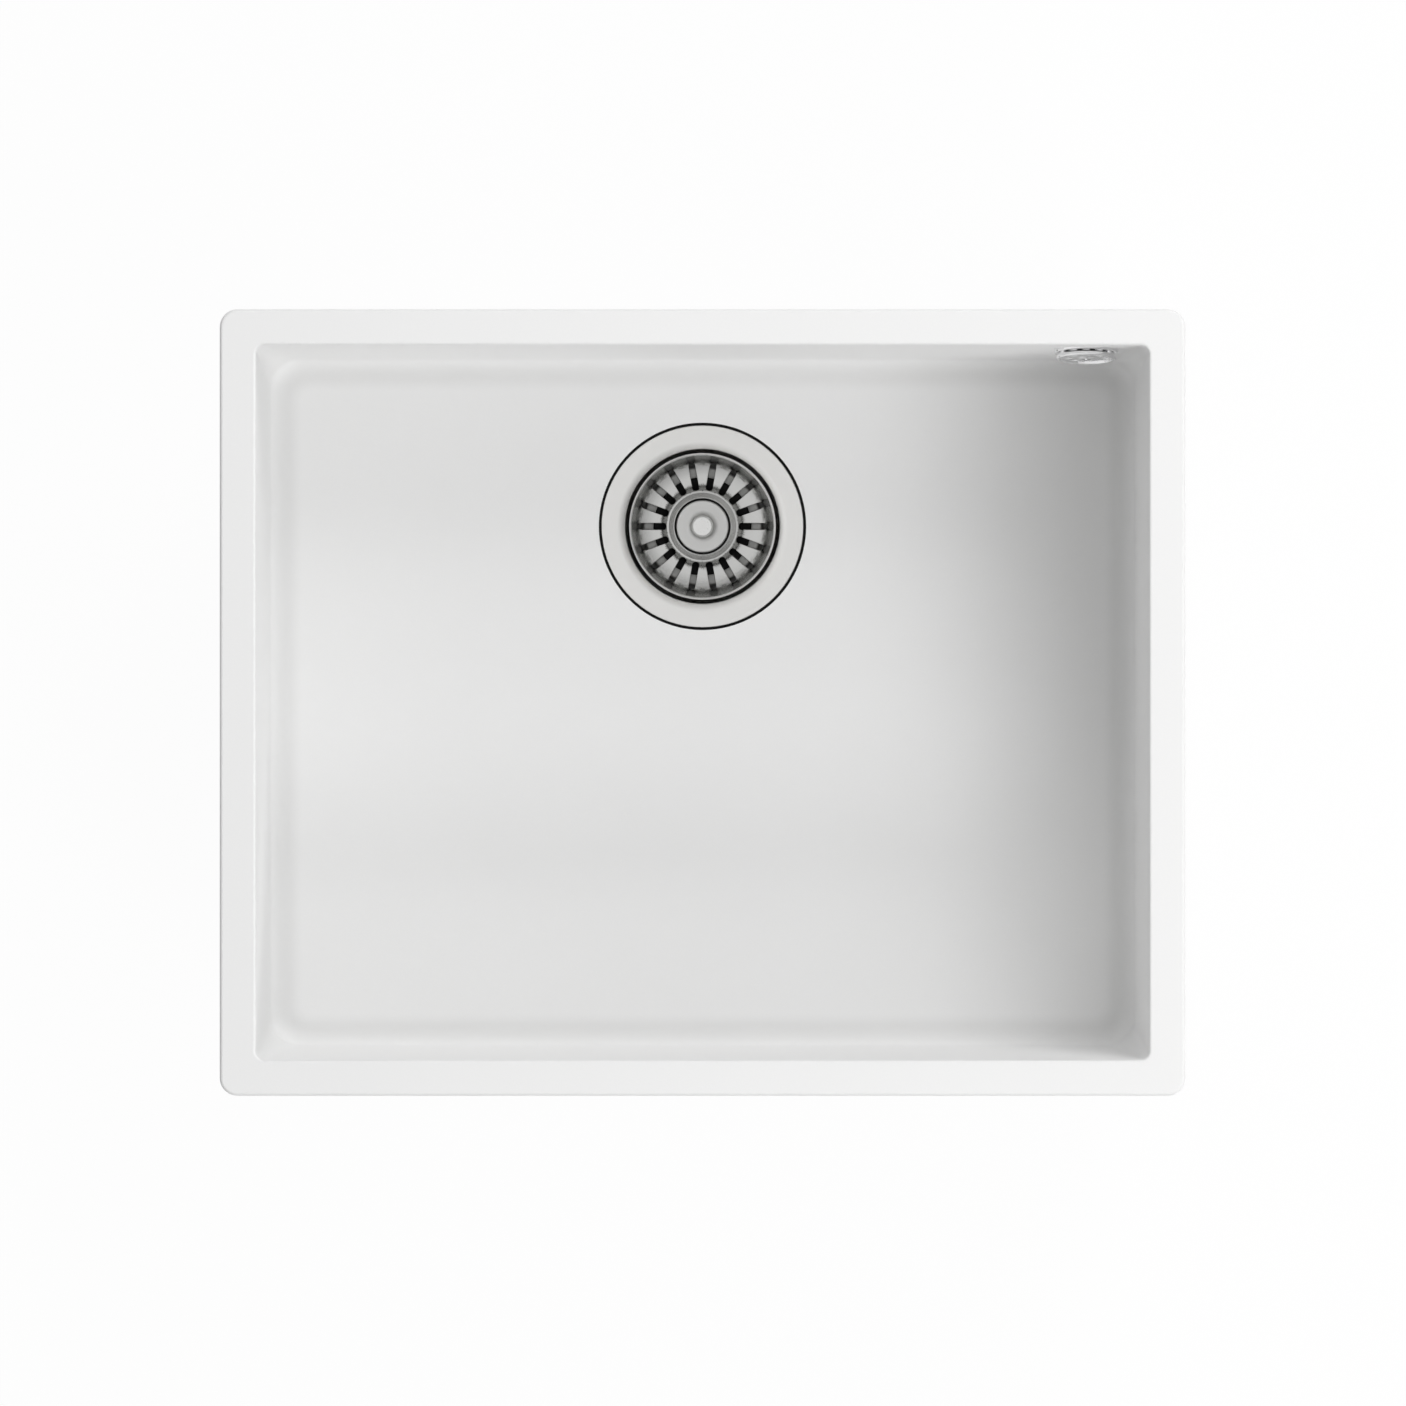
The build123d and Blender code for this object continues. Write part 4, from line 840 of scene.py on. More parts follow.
def window_half_angle(radius):
    """Half the angle of a window between two spokes of even width."""
    return TURN / WINDOW_COUNT / 2 - np.arcsin(WINDOW_SPOKE / 2 / np.asarray(radius))


def flange_skin():
    """Pressed sheet: flat flange, rolled lip, throat, cone and flat floor with six windows."""
    faces = pressed_sheet(
        FLANGE_SHEET,
        (FLANGE_RADIUS, 0, FLANGE_EDGE),
        (THROAT_RADIUS + FLANGE_ROLL_RUN * math.cos(FLANGE_ROLL_TURN), 0, FLANGE_ROLL),
        (THROAT_RADIUS, -FLANGE_ROLL_RUN * math.sin(FLANGE_ROLL_TURN), FLANGE_ROLL_EDGE),
        (THROAT_RADIUS, -THROAT_DEPTH, CUP_BEND),
        (SEAT_RADIUS, -CUP_DEPTH, CUP_BEND),
        (SCREW_HOLE_RADIUS, -CUP_DEPTH),
    )
    band = (WINDOW_INNER - WINDOW_MARGIN, WINDOW_OUTER + WINDOW_MARGIN)
    loop = sector_loop(WINDOW_INNER, WINDOW_OUTER, window_half_angle)
    skin = pierced_sheet(faces, WINDOW_COUNT, TURN / WINDOW_COUNT / 2, band, loop, WINDOW_EDGE)
    return skin.moved(DRAIN_ORIGIN)


def gasket_skin():
    """Rubber ring in the floor's recess: an L section whose lip shows round the flange."""
    bottom, top = levels("flange_gasket")
    section = rounded(
        (THROAT_RADIUS + FLANGE_LIP, bottom),
        (GASKET_RADIUS, bottom),
        (GASKET_RADIUS, top, GASKET_EDGE),
        (FLANGE_RADIUS, top, GASKET_EDGE),
        (FLANGE_RADIUS, -FLANGE_SHEET),
        (THROAT_RADIUS + FLANGE_LIP, -FLANGE_SHEET),
    )
    return lathe(section, GASKET_STEPS, ring=True).moved(DRAIN_ORIGIN)


def basket_skin():
    """Pressed sheet: narrow lip, steep collar, dish and a raised hub with a sloping ring.

    Eighteen slots run from the hub's side across the dish to the collar's foot.
    """
    mouth = BASKET_RADIUS - BASKET_LIP
    collar_foot = mouth - BASKET_LEAN
    dish_foot = collar_foot - BASKET_DISH_RISE / math.tan(BASKET_DISH_SLOPE)
    faces = pressed_sheet(
        BASKET_SHEET,
        (BASKET_RADIUS, BASKET_TOP, BASKET_EDGE),
        (mouth, BASKET_TOP, BASKET_LIP_BEND),
        (collar_foot, BASKET_FLOOR + BASKET_DISH_RISE, BASKET_COLLAR_BEND),
        (dish_foot, BASKET_FLOOR, BASKET_DISH_BEND),
        (HUB_FOOT, BASKET_FLOOR, HUB_FOOT_BEND),
        (HUB_SHOULDER, HUB_TOP - HUB_SHOULDER_DROP, HUB_SHOULDER_BEND),
        (HUB_STEP, HUB_TOP - HUB_STEP_DROP, HUB_STEP_BEND),
        (HUB_SEAT, HUB_TOP, HUB_SHOULDER_BEND),
        (POST_RADIUS, HUB_TOP),
    )
    loop = slot_loop(SLOT_START, SLOT_END, SLOT_HALF_WIDTH)
    return pierced_sheet(faces, SLOT_COUNT, 0, SLOT_BAND, loop, SLOT_EDGE).moved(DRAIN_ORIGIN)


def cap_skin():
    """Disc on the hub with a rounded rim, whose middle sweeps up to a neck under the knob."""
    bottom, top = levels("hub_cap")
    section = rounded(
        (POST_RADIUS, bottom),
        (CAP_RADIUS, bottom),
        (CAP_RADIUS, top, CAP_EDGE),
        (CAP_NECK, top, CAP_NECK_BEND),
        (CAP_NECK, top + CAP_NECK_HEIGHT),
        (POST_RADIUS, top + CAP_NECK_HEIGHT),
    )
    return lathe(section, ring=True).moved(DRAIN_ORIGIN)


def knob_skin():
    """Turned knob: flat head with rounded edges, a hollowed waist and a flared foot on the cap's neck."""
    cap_top, top = levels("lift_knob")
    bottom = cap_top + CAP_NECK_HEIGHT
    section = rounded(
        (0, top),
        (KNOB_HEAD_RADIUS, top, KNOB_EDGE),
        (KNOB_HEAD_RADIUS, top - KNOB_HEAD, KNOB_EDGE),
        (KNOB_WAIST, top - KNOB_WAIST_DROP, KNOB_WAIST_BEND),
        (KNOB_BASE, bottom),
        (0, bottom),
    )
    return lathe(section, KNOB_STEPS).moved(DRAIN_ORIGIN)


# Overflow


def rosette_skin():
    """Ring with a rounded edge, whose back follows the leaning wall.

    At an angle a and radius r the wall lies at r sin a tan(tilt - lean) along the rosette's axis.
    """
    outline = rounded(
        (ROSETTE_RADIUS, 0),
        (ROSETTE_RADIUS, ROSETTE_STAND, ROSETTE_EDGE),
        (ROSETTE_BORE, ROSETTE_STAND, ROSETTE_BORE_EDGE),
        (ROSETTE_BORE, 0),
    )
    grid = turned(outline, full_turn(ROSETTE_STEPS))
    slope = math.tan(OVERFLOW_TILT - LEAN)
    for row in (0, -1):
        grid[row, :, 2] = grid[row, :, 1] * slope
    skin = Skin()
    skin.add(grid, round_rows=True, round_columns=True)
    return skin.moved(*OVERFLOW_PLACE)


def grille_skin():
    """Disc with a raised rim, a ring of round holes and a hole for its screw, on three short feet."""
    skin = Skin()
    angles = pierced_band(
        skin,
        GRILLE_HOLE_COUNT,
        0,
        GRILLE_BAND_INNER,
        GRILLE_BAND_OUTER,
        hole_loop(GRILLE_CIRCLE_RADIUS, GRILLE_HOLE_RADIUS),
        GRILLE_EDGE,
        lambda radius: GRILLE_FRONT + 0 * radius,
        lambda radius: GRILLE_BACK + 0 * radius,
    )
    rim = rounded(
        (GRILLE_BAND_OUTER, GRILLE_FRONT),
        (GRILLE_RADIUS - GRILLE_RIM, GRILLE_FRONT),
        (GRILLE_RADIUS - GRILLE_RIM, GRILLE_RIM_FRONT, GRILLE_RIM_EDGE),
        (GRILLE_RADIUS, GRILLE_RIM_FRONT, GRILLE_RIM_EDGE),
        (GRILLE_RADIUS, GRILLE_BACK),
        (GRILLE_BAND_OUTER, GRILLE_BACK),
    )
    middle = (
        (GRILLE_BAND_INNER, GRILLE_FRONT),
        (GRILLE_SCREW_RADIUS, GRILLE_FRONT),
        (GRILLE_SCREW_RADIUS, GRILLE_BACK),
        (GRILLE_BAND_INNER, GRILLE_BACK),
    )
    for path in (rim, middle):
        skin.add(turned(path, angles), round_columns=True)
    foot_circle = (ROSETTE_BORE + GRILLE_RADIUS) / 2
    for index in range(GRILLE_FOOT_COUNT):
        turn = QUARTER + TURN * (index + 1 / 2) / GRILLE_FOOT_COUNT
        foot = cylinder(GRILLE_FOOT_RADIUS, ROSETTE_STAND, GRILLE_BACK, END_STEPS)
        skin.join(foot.moved((foot_circle * math.cos(turn), foot_circle * math.sin(turn), 0)))
    return skin.moved(*OVERFLOW_PLACE)


# Waste body and union nuts


def body_outside():
    """The waste body's outside as a full solid: rim, shell, funnel and threaded outlet."""
    end, _ = levels("waste_body")
    thread_low = end + OUTLET_CHAMFER
    thread_high = thread_low + OUTLET_TURNS * OUTLET_PITCH
    upper = rounded(
        (0, BODY_TOP),
        (BODY_RIM_RADIUS, BODY_TOP, BODY_EDGE),
        (BODY_RIM_RADIUS, BODY_RIM_BOTTOM, BODY_EDGE),
        (BODY_RADIUS, BODY_RIM_BOTTOM, BODY_EDGE),
        (BODY_RADIUS, CHAMBER_FLOOR - BODY_WALL / 2, BODY_BEND + BODY_WALL),
        (OUTLET_RADIUS, FUNNEL_FOOT - BODY_WALL / 2, BODY_BEND),
        (OUTLET_RADIUS, thread_high),
    )
    skin = lathe(upper)
    skin.add(thread(OUTLET_RADIUS, OUTLET_THREAD, OUTLET_PITCH, thread_low, thread_high, LATHE_STEPS))
    skin.join(lathe(((OUTLET_RADIUS, thread_low), (OUTLET_RADIUS - OUTLET_CHAMFER, end), (0, end))))
    return skin.moved(DRAIN_ORIGIN)


def star(x, y, z, turns):
    """Solids from loops of (x, y, z), set round the drain's axis with x pointing out at each angle."""
    loops = np.stack(np.broadcast_arrays(x, y, z), axis=-1)
    skin = Skin()
    for turn in turns:
        out = (math.cos(turn), math.sin(turn), 0)
        along = (-math.sin(turn), math.cos(turn), 0)
        skin.join(solid(loops).moved(DRAIN_ORIGIN, out, along))
    return skin


def body_arms():
    """The overflow port, and the five gussets under the rim on both sides of it."""
    port = rounded(
        (0, OUTLET_RADIUS),
        (PORT_RADIUS, OUTLET_RADIUS),
        (PORT_RADIUS, PORT_REACH, PORT_EDGE),
        (0, PORT_REACH),
    )
    skin = lathe(port).moved(*PIPE_PLACE)
    low = BODY_RIM_BOTTOM - GUSSET_HEIGHT
    high = (BODY_TOP + BODY_RIM_BOTTOM) / 2
    reach = BODY_RIM_RADIUS - GUSSET_INSET
    radius = np.array([CHAMBER_RADIUS, reach, reach, BODY_RADIUS, CHAMBER_RADIUS])
    height = np.array([high, high, BODY_RIM_BOTTOM, low, low])
    side = GUSSET_THICKNESS / 2 * np.array([[-1], [1]])
    turns = PIPE_ANGLE + TURN * np.arange(1, GUSSET_COUNT + 1) / (GUSSET_COUNT + 1)
    skin.join(star(radius, side, height, turns))
    return skin


def body_hollow():
    """Chamber, funnel and outlet bore, as a solid that is taken away."""
    end = levels("waste_body")[0] - CUT_MARGIN
    hollow = rounded(
        (0, BODY_TOP + CUT_MARGIN),
        (CHAMBER_RADIUS, BODY_TOP + CUT_MARGIN),
        (CHAMBER_RADIUS, CHAMBER_FLOOR, BODY_BEND),
        (OUTLET_BORE_RADIUS, FUNNEL_FOOT, BODY_BEND),
        (OUTLET_BORE_RADIUS, end),
        (0, end),
    )
    return lathe(hollow).moved(DRAIN_ORIGIN)


def body_spokes():
    """Three spokes that carry the boss, clear of the port."""
    half = BODY_SPOKE_WIDTH / 2
    inner = BODY_BOSS_RADIUS - BODY_WALL
    outer = CHAMBER_RADIUS + BODY_WALL / 2
    radius = np.array([inner, outer, outer, inner])
    side = np.array([-half, -half, half, half])
    height = np.array([[BODY_BOSS_TOP - BODY_SPOKE_HEIGHT], [BODY_BOSS_TOP]])
    turns = PIPE_ANGLE + TURN * (np.arange(BODY_SPOKE_COUNT) + 1 / 2) / BODY_SPOKE_COUNT
    return star(radius, side, height, turns)


def body_mesh():
    """The waste body: its outside less its hollows, with a boss on spokes for the centre screw's nut."""
    port_bore = cylinder(PORT_BORE_RADIUS, OUTLET_RADIUS, PORT_REACH + CUT_MARGIN)
    boss = cylinder(BODY_BOSS_RADIUS, BODY_BOSS_TOP, BODY_BOSS_BOTTOM)
    cut_low = BODY_BOSS_BOTTOM - CUT_MARGIN
    screw_hole = cylinder(SCREW_HOLE_RADIUS, BODY_BOSS_TOP + CUT_MARGIN, cut_low)
    nut_corner = BODY_NUT_HEX / math.sqrt(3)
    nut_pocket = cylinder(nut_corner, cut_low, BODY_BOSS_BOTTOM + BODY_NUT_HEIGHT, BODY_NUT_SIDES)
    steps = (
        ("UNION", body_arms()),
        ("DIFFERENCE", body_hollow()),
        ("DIFFERENCE", port_bore.moved(*PIPE_PLACE)),
        ("UNION", boss.moved(DRAIN_ORIGIN)),
        ("UNION", body_spokes()),
        ("DIFFERENCE", screw_hole.moved(DRAIN_ORIGIN)),
        ("DIFFERENCE", nut_pocket.moved(DRAIN_ORIGIN)),
    )
    return combined(body_outside().mesh("waste_body_moulding"), steps)


def union_skin(face, out):
    """Union nut round the pipe: rounded ends and flutes, each a circle sunk into the outside.

    At an angle d from a flute's middle its surface lies at c cos d - sqrt(f f - (c sin d)^2) from the axis,
    where c is the distance of the flute's centre and f its radius. face is the end of the port that the nut
    is screwed on, and out is the direction from there towards the pipe.
    """
    section = rounded(
        (PORT_RADIUS, face - out * UNION_GRIP),
        (UNION_RADIUS, face - out * UNION_GRIP, UNION_EDGE),
        (UNION_RADIUS, face + out * UNION_FACE, UNION_EDGE),
        (UNION_PASS_RADIUS, face + out * UNION_FACE),
        (UNION_PASS_RADIUS, face + out * UNION_SEAT),
        (PORT_RADIUS, face + out * UNION_SEAT),
    )
    angles = full_turn(UNION_FLUTES * UNION_FLUTE_STEPS)
    pitch = TURN / UNION_FLUTES
    offset = (angles + pitch / 2) % pitch - pitch / 2
    centre = UNION_RADIUS + UNION_FLUTE_RADIUS - UNION_FLUTE_DEPTH
    inside = np.clip(UNION_FLUTE_RADIUS**2 - (centre * np.sin(offset)) ** 2, 0, None)
    flute = np.minimum(centre * np.cos(offset) - np.sqrt(inside), UNION_RADIUS)
    radius = section[:, :1]
    fluted = np.where(radius > PORT_RADIUS + UNION_EDGE, radius - UNION_RADIUS + flute, radius)
    skin = Skin()
    skin.add(swept(fluted, angles, section[:, 1:]), round_rows=True, round_columns=True)
    return skin.moved(*PIPE_PLACE)


# Finishes


class Field:
    """A socket of a finish's node tree. Arithmetic on it adds Math nodes."""

    def __init__(self, finish, socket):
        self.finish = finish
        self.socket = socket

    def __add__(self, other):
        return self.finish.maths("ADD", self, other)

    __radd__ = __add__

    def __sub__(self, other):
        return self.finish.maths("SUBTRACT", self, other)

    def __rsub__(self, other):
        return self.finish.maths("SUBTRACT", other, self)

    def __mul__(self, other):
        return self.finish.maths("MULTIPLY", self, other)

    __rmul__ = __mul__

    def __pow__(self, other):
        return self.finish.maths("POWER", self, other)


# Sockets of a Mix node that mixes colours
MIX_FACTOR = 0
MIX_FIRST = 6
MIX_SECOND = 7
MIX_RESULT = 2

ROOT = 0.5
NOISE_MEAN = 0.5


class Finish:
    """A Principled material whose pattern is written as expressions on Object coordinates."""

    def __init__(self, name, tree=None):
        if tree is None:
            self.material = bpy.data.materials.new(name)
            self.material.use_nodes = True
            tree = self.material.node_tree
        self.tree = tree

    def node(self, kind, settings=None, sockets=None, output=0):
        """Adds a node: its settings first, then a value or a link for each named socket."""
        made = self.tree.nodes.new(kind)
        for key, value in (settings or {}).items():
            setattr(made, key, value)
        self.feed(made, sockets or {})
        return Field(self, made.outputs[output])

    def feed(self, node, sockets):
        """Sets or links a node's sockets."""
        for key, value in sockets.items():
            if isinstance(value, Field):
                self.tree.links.new(value.socket, node.inputs[key])
            else:
                node.inputs[key].default_value = value

    def surface(self, sockets):
        """Feeds the Principled shader and returns the material."""
        self.feed(self.tree.nodes["Principled BSDF"], sockets)
        return self.material

    def maths(self, operation, *values):
        """A Math node on one or two values."""
        return self.node("ShaderNodeMath", {"operation": operation}, dict(enumerate(values)))

    def place(self, centre=(0, 0, 0)):
        """Object coordinates from a centre given in millimetres."""
        here = self.node("ShaderNodeTexCoord", output="Object")
        shift = [-value * MM for value in centre]
        return self.node("ShaderNodeMapping", {"vector_type": "POINT"}, {"Vector": here, "Location": shift})

    def noise(self, vector, scale, detail=2.0):
        """Smooth noise between 0 and 1."""
        return self.node("ShaderNodeTexNoise", None, {"Vector": vector, "Scale": scale, "Detail": detail})

    def mixed(self, factor, first, second):
        """A colour between two colours."""
        first, second = (end if isinstance(end, Field) else (*end, 1) for end in (first, second))
        sockets = {MIX_FACTOR: factor, MIX_FIRST: first, MIX_SECOND: second}
        return self.node("ShaderNodeMix", {"data_type": "RGBA"}, sockets, MIX_RESULT)

    def split(self, vector):
        """The three parts of a vector."""
        return [self.node("ShaderNodeSeparateXYZ", None, {0: vector}, axis) for axis in range(3)]

    def eased(self, value, low, high):
        """0 below one length and 1 above another, both in millimetres, with a soft change between them."""
        ends = {"Value": value, "From Min": low * MM, "From Max": high * MM}
        return self.node("ShaderNodeMapRange", {"interpolation_type": "SMOOTHSTEP"}, ends)

    def past(self, value, start):
        """How far the size of a value goes past a length in millimetres, and 0 short of it."""
        return self.maths("MAXIMUM", self.maths("ABSOLUTE", value) - start * MM, 0.0)

    def bump(self, height, distance):
        """A normal from a height field, whose full step is a distance in millimetres."""
        sockets = {"Height": height, "Distance": distance * MM, "Strength": 1.0}
        return self.node("ShaderNodeBump", None, sockets)

    def rings(self, centre, fine, streak, detail):
        """Noise drawn out along circles round an upright axis: fine across them, streak along them."""
        x, y, z = self.split(self.place(centre))
        radius = (x * x + y * y) ** ROOT
        angle = self.maths("ARCTAN2", y, x)
        across = {0: radius * fine, 1: angle * streak, 2: z * fine}
        return self.noise(self.node("ShaderNodeCombineXYZ", None, across), 1.0, detail)


def uneven(field, spread):
    """A noise moved to lie about 0 and scaled by a spread."""
    return (field - NOISE_MEAN) * spread


def darkened(colour, share):
    """A colour with its three values scaled."""
    return [value * share for value in colour]


# White granite composite
COMPOSITE_WHITES = ((0.845, 0.845, 0.842), (0.885, 0.885, 0.883))
COMPOSITE_GRAIN_SCALE = 1400.0
COMPOSITE_FINE_SCALE = 2600.0
COMPOSITE_CLOUD_SCALE = 9.0
COMPOSITE_GRAIN_SHARE = 0.35
COMPOSITE_CLOUD_SHARE = 0.3
COMPOSITE_ROUGHNESS = 0.5
COMPOSITE_SPREAD = 0.2
COMPOSITE_GRAIN_RELIEF = 0.6
COMPOSITE_RELIEF = 0.012
COMPOSITE_GLOSS = 0.4

# Painted shade, a greyer line along the foot of the bowl's walls where they meet the floor: its place in
# from the mouth and above the floor
FOOT_INSET = 16.0
FOOT_RISE = 0.7
FOOT_REACH = 11.0
FOOT_SHADE_GREY = (0.6, 0.6, 0.595)
FOOT_SHADE_STRENGTH = 0.36


def painted_foot_shade(finish, here):
    """How strongly shade is painted along the foot of the bowl's walls, where they meet the floor: 1 there,
    falling to 0 with the distance from it.

    The foot is a rounded rectangle. A point lies as far out from it as its excess past the straight sides,
    taken as the root of the sum of squares, less the corner's radius.
    """
    x, y, z = finish.split(here)
    inset = RIM_WIDTH + FOOT_INSET + FLOOR_CORNER
    across = finish.past(x, RIM_X - inset)
    along = finish.past(y, RIM_Y - inset)
    outward = (across * across + along * along) ** ROOT - FLOOR_CORNER * MM
    above = z - (FLOOR_Z + FOOT_RISE) * MM
    return 1 - finish.eased((outward * outward + above * above) ** ROOT, 0, FOOT_REACH)


def composite_finish():
    """White granite composite: fine pale grains in a white binder, with a silky, slightly uneven skin, and
    painted shade greying it along the foot of the bowl's walls.
    """
    finish = Finish("white_granite_composite")
    here = finish.place()
    cells = {"Vector": here, "Scale": COMPOSITE_GRAIN_SCALE, "Randomness": 1.0}
    grains = finish.node("ShaderNodeTexVoronoi", None, cells)
    fine = finish.noise(here, COMPOSITE_FINE_SCALE)
    cloud = finish.noise(here, COMPOSITE_CLOUD_SCALE)
    shade = grains * COMPOSITE_GRAIN_SHARE + fine * COMPOSITE_GRAIN_SHARE + cloud * COMPOSITE_CLOUD_SHARE
    white = finish.mixed(shade, *COMPOSITE_WHITES)
    return finish.surface(
        {
            # Painted shade: the white is mixed towards grey along the foot of the walls, where they meet
            # the floor
            "Base Color": finish.mixed(painted_foot_shade(finish, here) * FOOT_SHADE_STRENGTH, white, FOOT_SHADE_GREY),
            "Roughness": COMPOSITE_ROUGHNESS + uneven(fine, COMPOSITE_SPREAD),
            "Normal": finish.bump(fine + grains * COMPOSITE_GRAIN_RELIEF, COMPOSITE_RELIEF),
            "Specular IOR Level": COMPOSITE_GLOSS,
        }
    )


# Stainless steel worked in circles round the drain
DRAIN_AXIS = (0, DRAIN_Y, 0)
# Painted shade at the bottom of the flange's cup, under the basket: the heights over which it fades out
# upwards
CUP_SHADE_HEIGHTS = (FLOOR_Z - CUP_DEPTH, FLOOR_Z - CUP_DEPTH + CUP_BEND)
STEEL_STREAK = 2.5
STEEL_DETAIL = 3.0
STEEL_CLOUD_SCALE = 60.0
STEEL_DARK = 0.9
STEEL_LINE_SHARE = 0.6
STEEL_CLOUD_SHARE = 0.4
STEEL_LINE_SPREAD = 0.16
STEEL_CLOUD_SPREAD = 0.06


def steel_finish(name, colour, roughness, fine, relief, cup_shade=None):
    """Stainless steel brushed or turned in circles round the drain's axis.

    The last argument, where it is given, is painted shade: a darker colour mixed in at the bottom of the
    drawn cup, under the basket.
    """
    finish = Finish(name)
    lines = finish.rings(DRAIN_AXIS, fine, STEEL_STREAK, STEEL_DETAIL)
    cloud = finish.noise(finish.place(), STEEL_CLOUD_SCALE)
    shade = lines * STEEL_LINE_SHARE + cloud * STEEL_CLOUD_SHARE
    base = finish.mixed(shade, darkened(colour, STEEL_DARK), colour)
    if cup_shade:
        # Painted shade: the steel at the bottom of the cup, under the basket, is mixed towards the darker
        # colour
        height = finish.split(finish.place())[2]
        base = finish.mixed(finish.eased(height, *CUP_SHADE_HEIGHTS), cup_shade, base)
    return finish.surface(
        {
            "Base Color": base,
            "Metallic": 1.0,
            "Roughness": roughness + uneven(lines, STEEL_LINE_SPREAD) + uneven(cloud, STEEL_CLOUD_SPREAD),
            "Normal": finish.bump(lines, relief),
        }
    )


# Moulded plastic
PLASTIC_GRAIN_SCALE = 2200.0
PLASTIC_DETAIL = 3.0
PLASTIC_CLOUD_SCALE = 40.0
PLASTIC_DARK = 0.93
PLASTIC_CLOUD_SHARE = 0.7
PLASTIC_GRAIN_SHARE = 0.3
PLASTIC_ROUGHNESS = 0.42
PLASTIC_GRAIN_SPREAD = 0.2
PLASTIC_CLOUD_SPREAD = 0.1
PLASTIC_RELIEF = 0.02


def plastic_finish(name, colour):
    """Moulded plastic with a fine spark-eroded texture and a slightly uneven sheen."""
    finish = Finish(name)
    here = finish.place()
    grain = finish.noise(here, PLASTIC_GRAIN_SCALE, PLASTIC_DETAIL)
    cloud = finish.noise(here, PLASTIC_CLOUD_SCALE)
    shade = cloud * PLASTIC_CLOUD_SHARE + grain * PLASTIC_GRAIN_SHARE
    sheen = PLASTIC_ROUGHNESS + uneven(grain, PLASTIC_GRAIN_SPREAD) + uneven(cloud, PLASTIC_CLOUD_SPREAD)
    return finish.surface(
        {
            "Base Color": finish.mixed(shade, darkened(colour, PLASTIC_DARK), colour),
            "Roughness": sheen,
            "Normal": finish.bump(grain, PLASTIC_RELIEF),
        }
    )


def grained_finish(name, dark, light, scale, detail, roughness, spread, relief=None, constants=None):
    """A noise that mixes two colours and makes the roughness uneven, with fine relief where it is given."""
    finish = Finish(name)
    grain = finish.noise(finish.place(), scale, detail)
    sockets = {"Base Color": finish.mixed(grain, dark, light), "Roughness": roughness + grain * spread}
    if relief:
        sockets["Normal"] = finish.bump(grain, relief)
    return finish.surface({**sockets, **(constants or {})})


composite = composite_finish()
brushed_steel = steel_finish(
    "brushed_flange_steel",
    colour=(0.83, 0.825, 0.81),
    roughness=0.44,
    fine=5200.0,
    relief=0.004,
    # Painted shade at the bottom of the cup, under the basket
    cup_shade=(0.36, 0.36, 0.35),
)
satin_steel = steel_finish(
    "satin_strainer_steel", colour=(0.56, 0.56, 0.55), roughness=0.22, fine=3600.0, relief=0.001
)
turned_steel = steel_finish(
    "turned_knob_steel", colour=(0.73, 0.73, 0.72), roughness=0.3, fine=3600.0, relief=0.003
)
blasted_steel = steel_finish(
    "blasted_cap_steel", colour=(0.65, 0.65, 0.64), roughness=0.46, fine=4200.0, relief=0.003
)
chrome = grained_finish(
    "bright_chrome",
    dark=(0.82, 0.82, 0.83),
    light=(0.9, 0.9, 0.9),
    scale=220.0,
    detail=2.0,
    roughness=0.05,
    spread=0.06,
    constants={"Metallic": 1.0},
)
rubber = grained_finish(
    "black_seal_rubber",
    dark=(0.004, 0.004, 0.004),
    light=(0.012, 0.012, 0.012),
    scale=1800.0,
    detail=4.0,
    roughness=0.6,
    spread=0.2,
    relief=0.02,
    constants={"Specular IOR Level": 0.08},
)
white_plastic = plastic_finish("white_moulded_plastic", colour=(0.8, 0.8, 0.79))
grey_plastic = plastic_finish("grey_moulded_plastic", colour=(0.36, 0.37, 0.38))
brass = grained_finish(
    "turned_brass",
    dark=(0.62, 0.44, 0.18),
    light=(0.78, 0.58, 0.28),
    scale=900.0,
    detail=3.0,
    roughness=0.28,
    spread=0.14,
    constants={"Metallic": 1.0},
)


# Pieces that stand for CAD nodes


def show(name, mesh, nodes, finish):
    """A finished mesh as an object that stands for CAD nodes and rides on their body."""
    mesh.shade_smooth()
    mesh.set_sharp_from_angle(angle=SHARP_ANGLE)
    mesh.materials.append(finish)
    piece = bpy.data.objects.new(name, mesh)
    bpy.context.scene.collection.objects.link(piece)
    even = piece.modifiers.new("even_shading", "WEIGHTED_NORMAL")
    even.keep_sharp = True
    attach(piece, frame["nodes"][nodes[0]]["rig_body"])
    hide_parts(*nodes)


moulding = combined(bowl_mesh(), (("UNION", bosses_skin()), ("DIFFERENCE", cutters_skin())))
show("bowl_moulding", moulding, ["sink_bowl"], composite)
for name, skin, node, slot, finish in (
    ("pressed_flange", flange_skin(), "waste_flange", "brushed_steel", brushed_steel),
    ("flange_ring_seal", gasket_skin(), "flange_gasket", "black_rubber", rubber),
    ("slotted_basket", basket_skin(), "strainer_basket", "satin_steel", satin_steel),
    ("hub_disc", cap_skin(), "hub_cap", "satin_steel", blasted_steel),
    ("turned_knob", knob_skin(), "lift_knob", "satin_steel", turned_steel),
    ("crowned_rosette", rosette_skin(), "overflow_rosette", "chrome", chrome),
    ("pierced_grille", grille_skin(), "overflow_grille", "chrome", chrome),
    ("threaded_inserts", inserts_skin(), "rim_inserts", "brass", brass),
):
    show(name, skin.mesh(name), [node], finish)
show("waste_body_moulding", body_mesh(), ["waste_body"], white_plastic)
for union_node, face, out in (("port_nut", PORT_REACH, 1), ("elbow_nut", PIPE_RUN - ELBOW_REACH, -1)):
    union_mesh = union_skin(face, out).mesh(f"fluted_{union_node}")
    show(f"fluted_{union_node}", union_mesh, [union_node], grey_plastic)

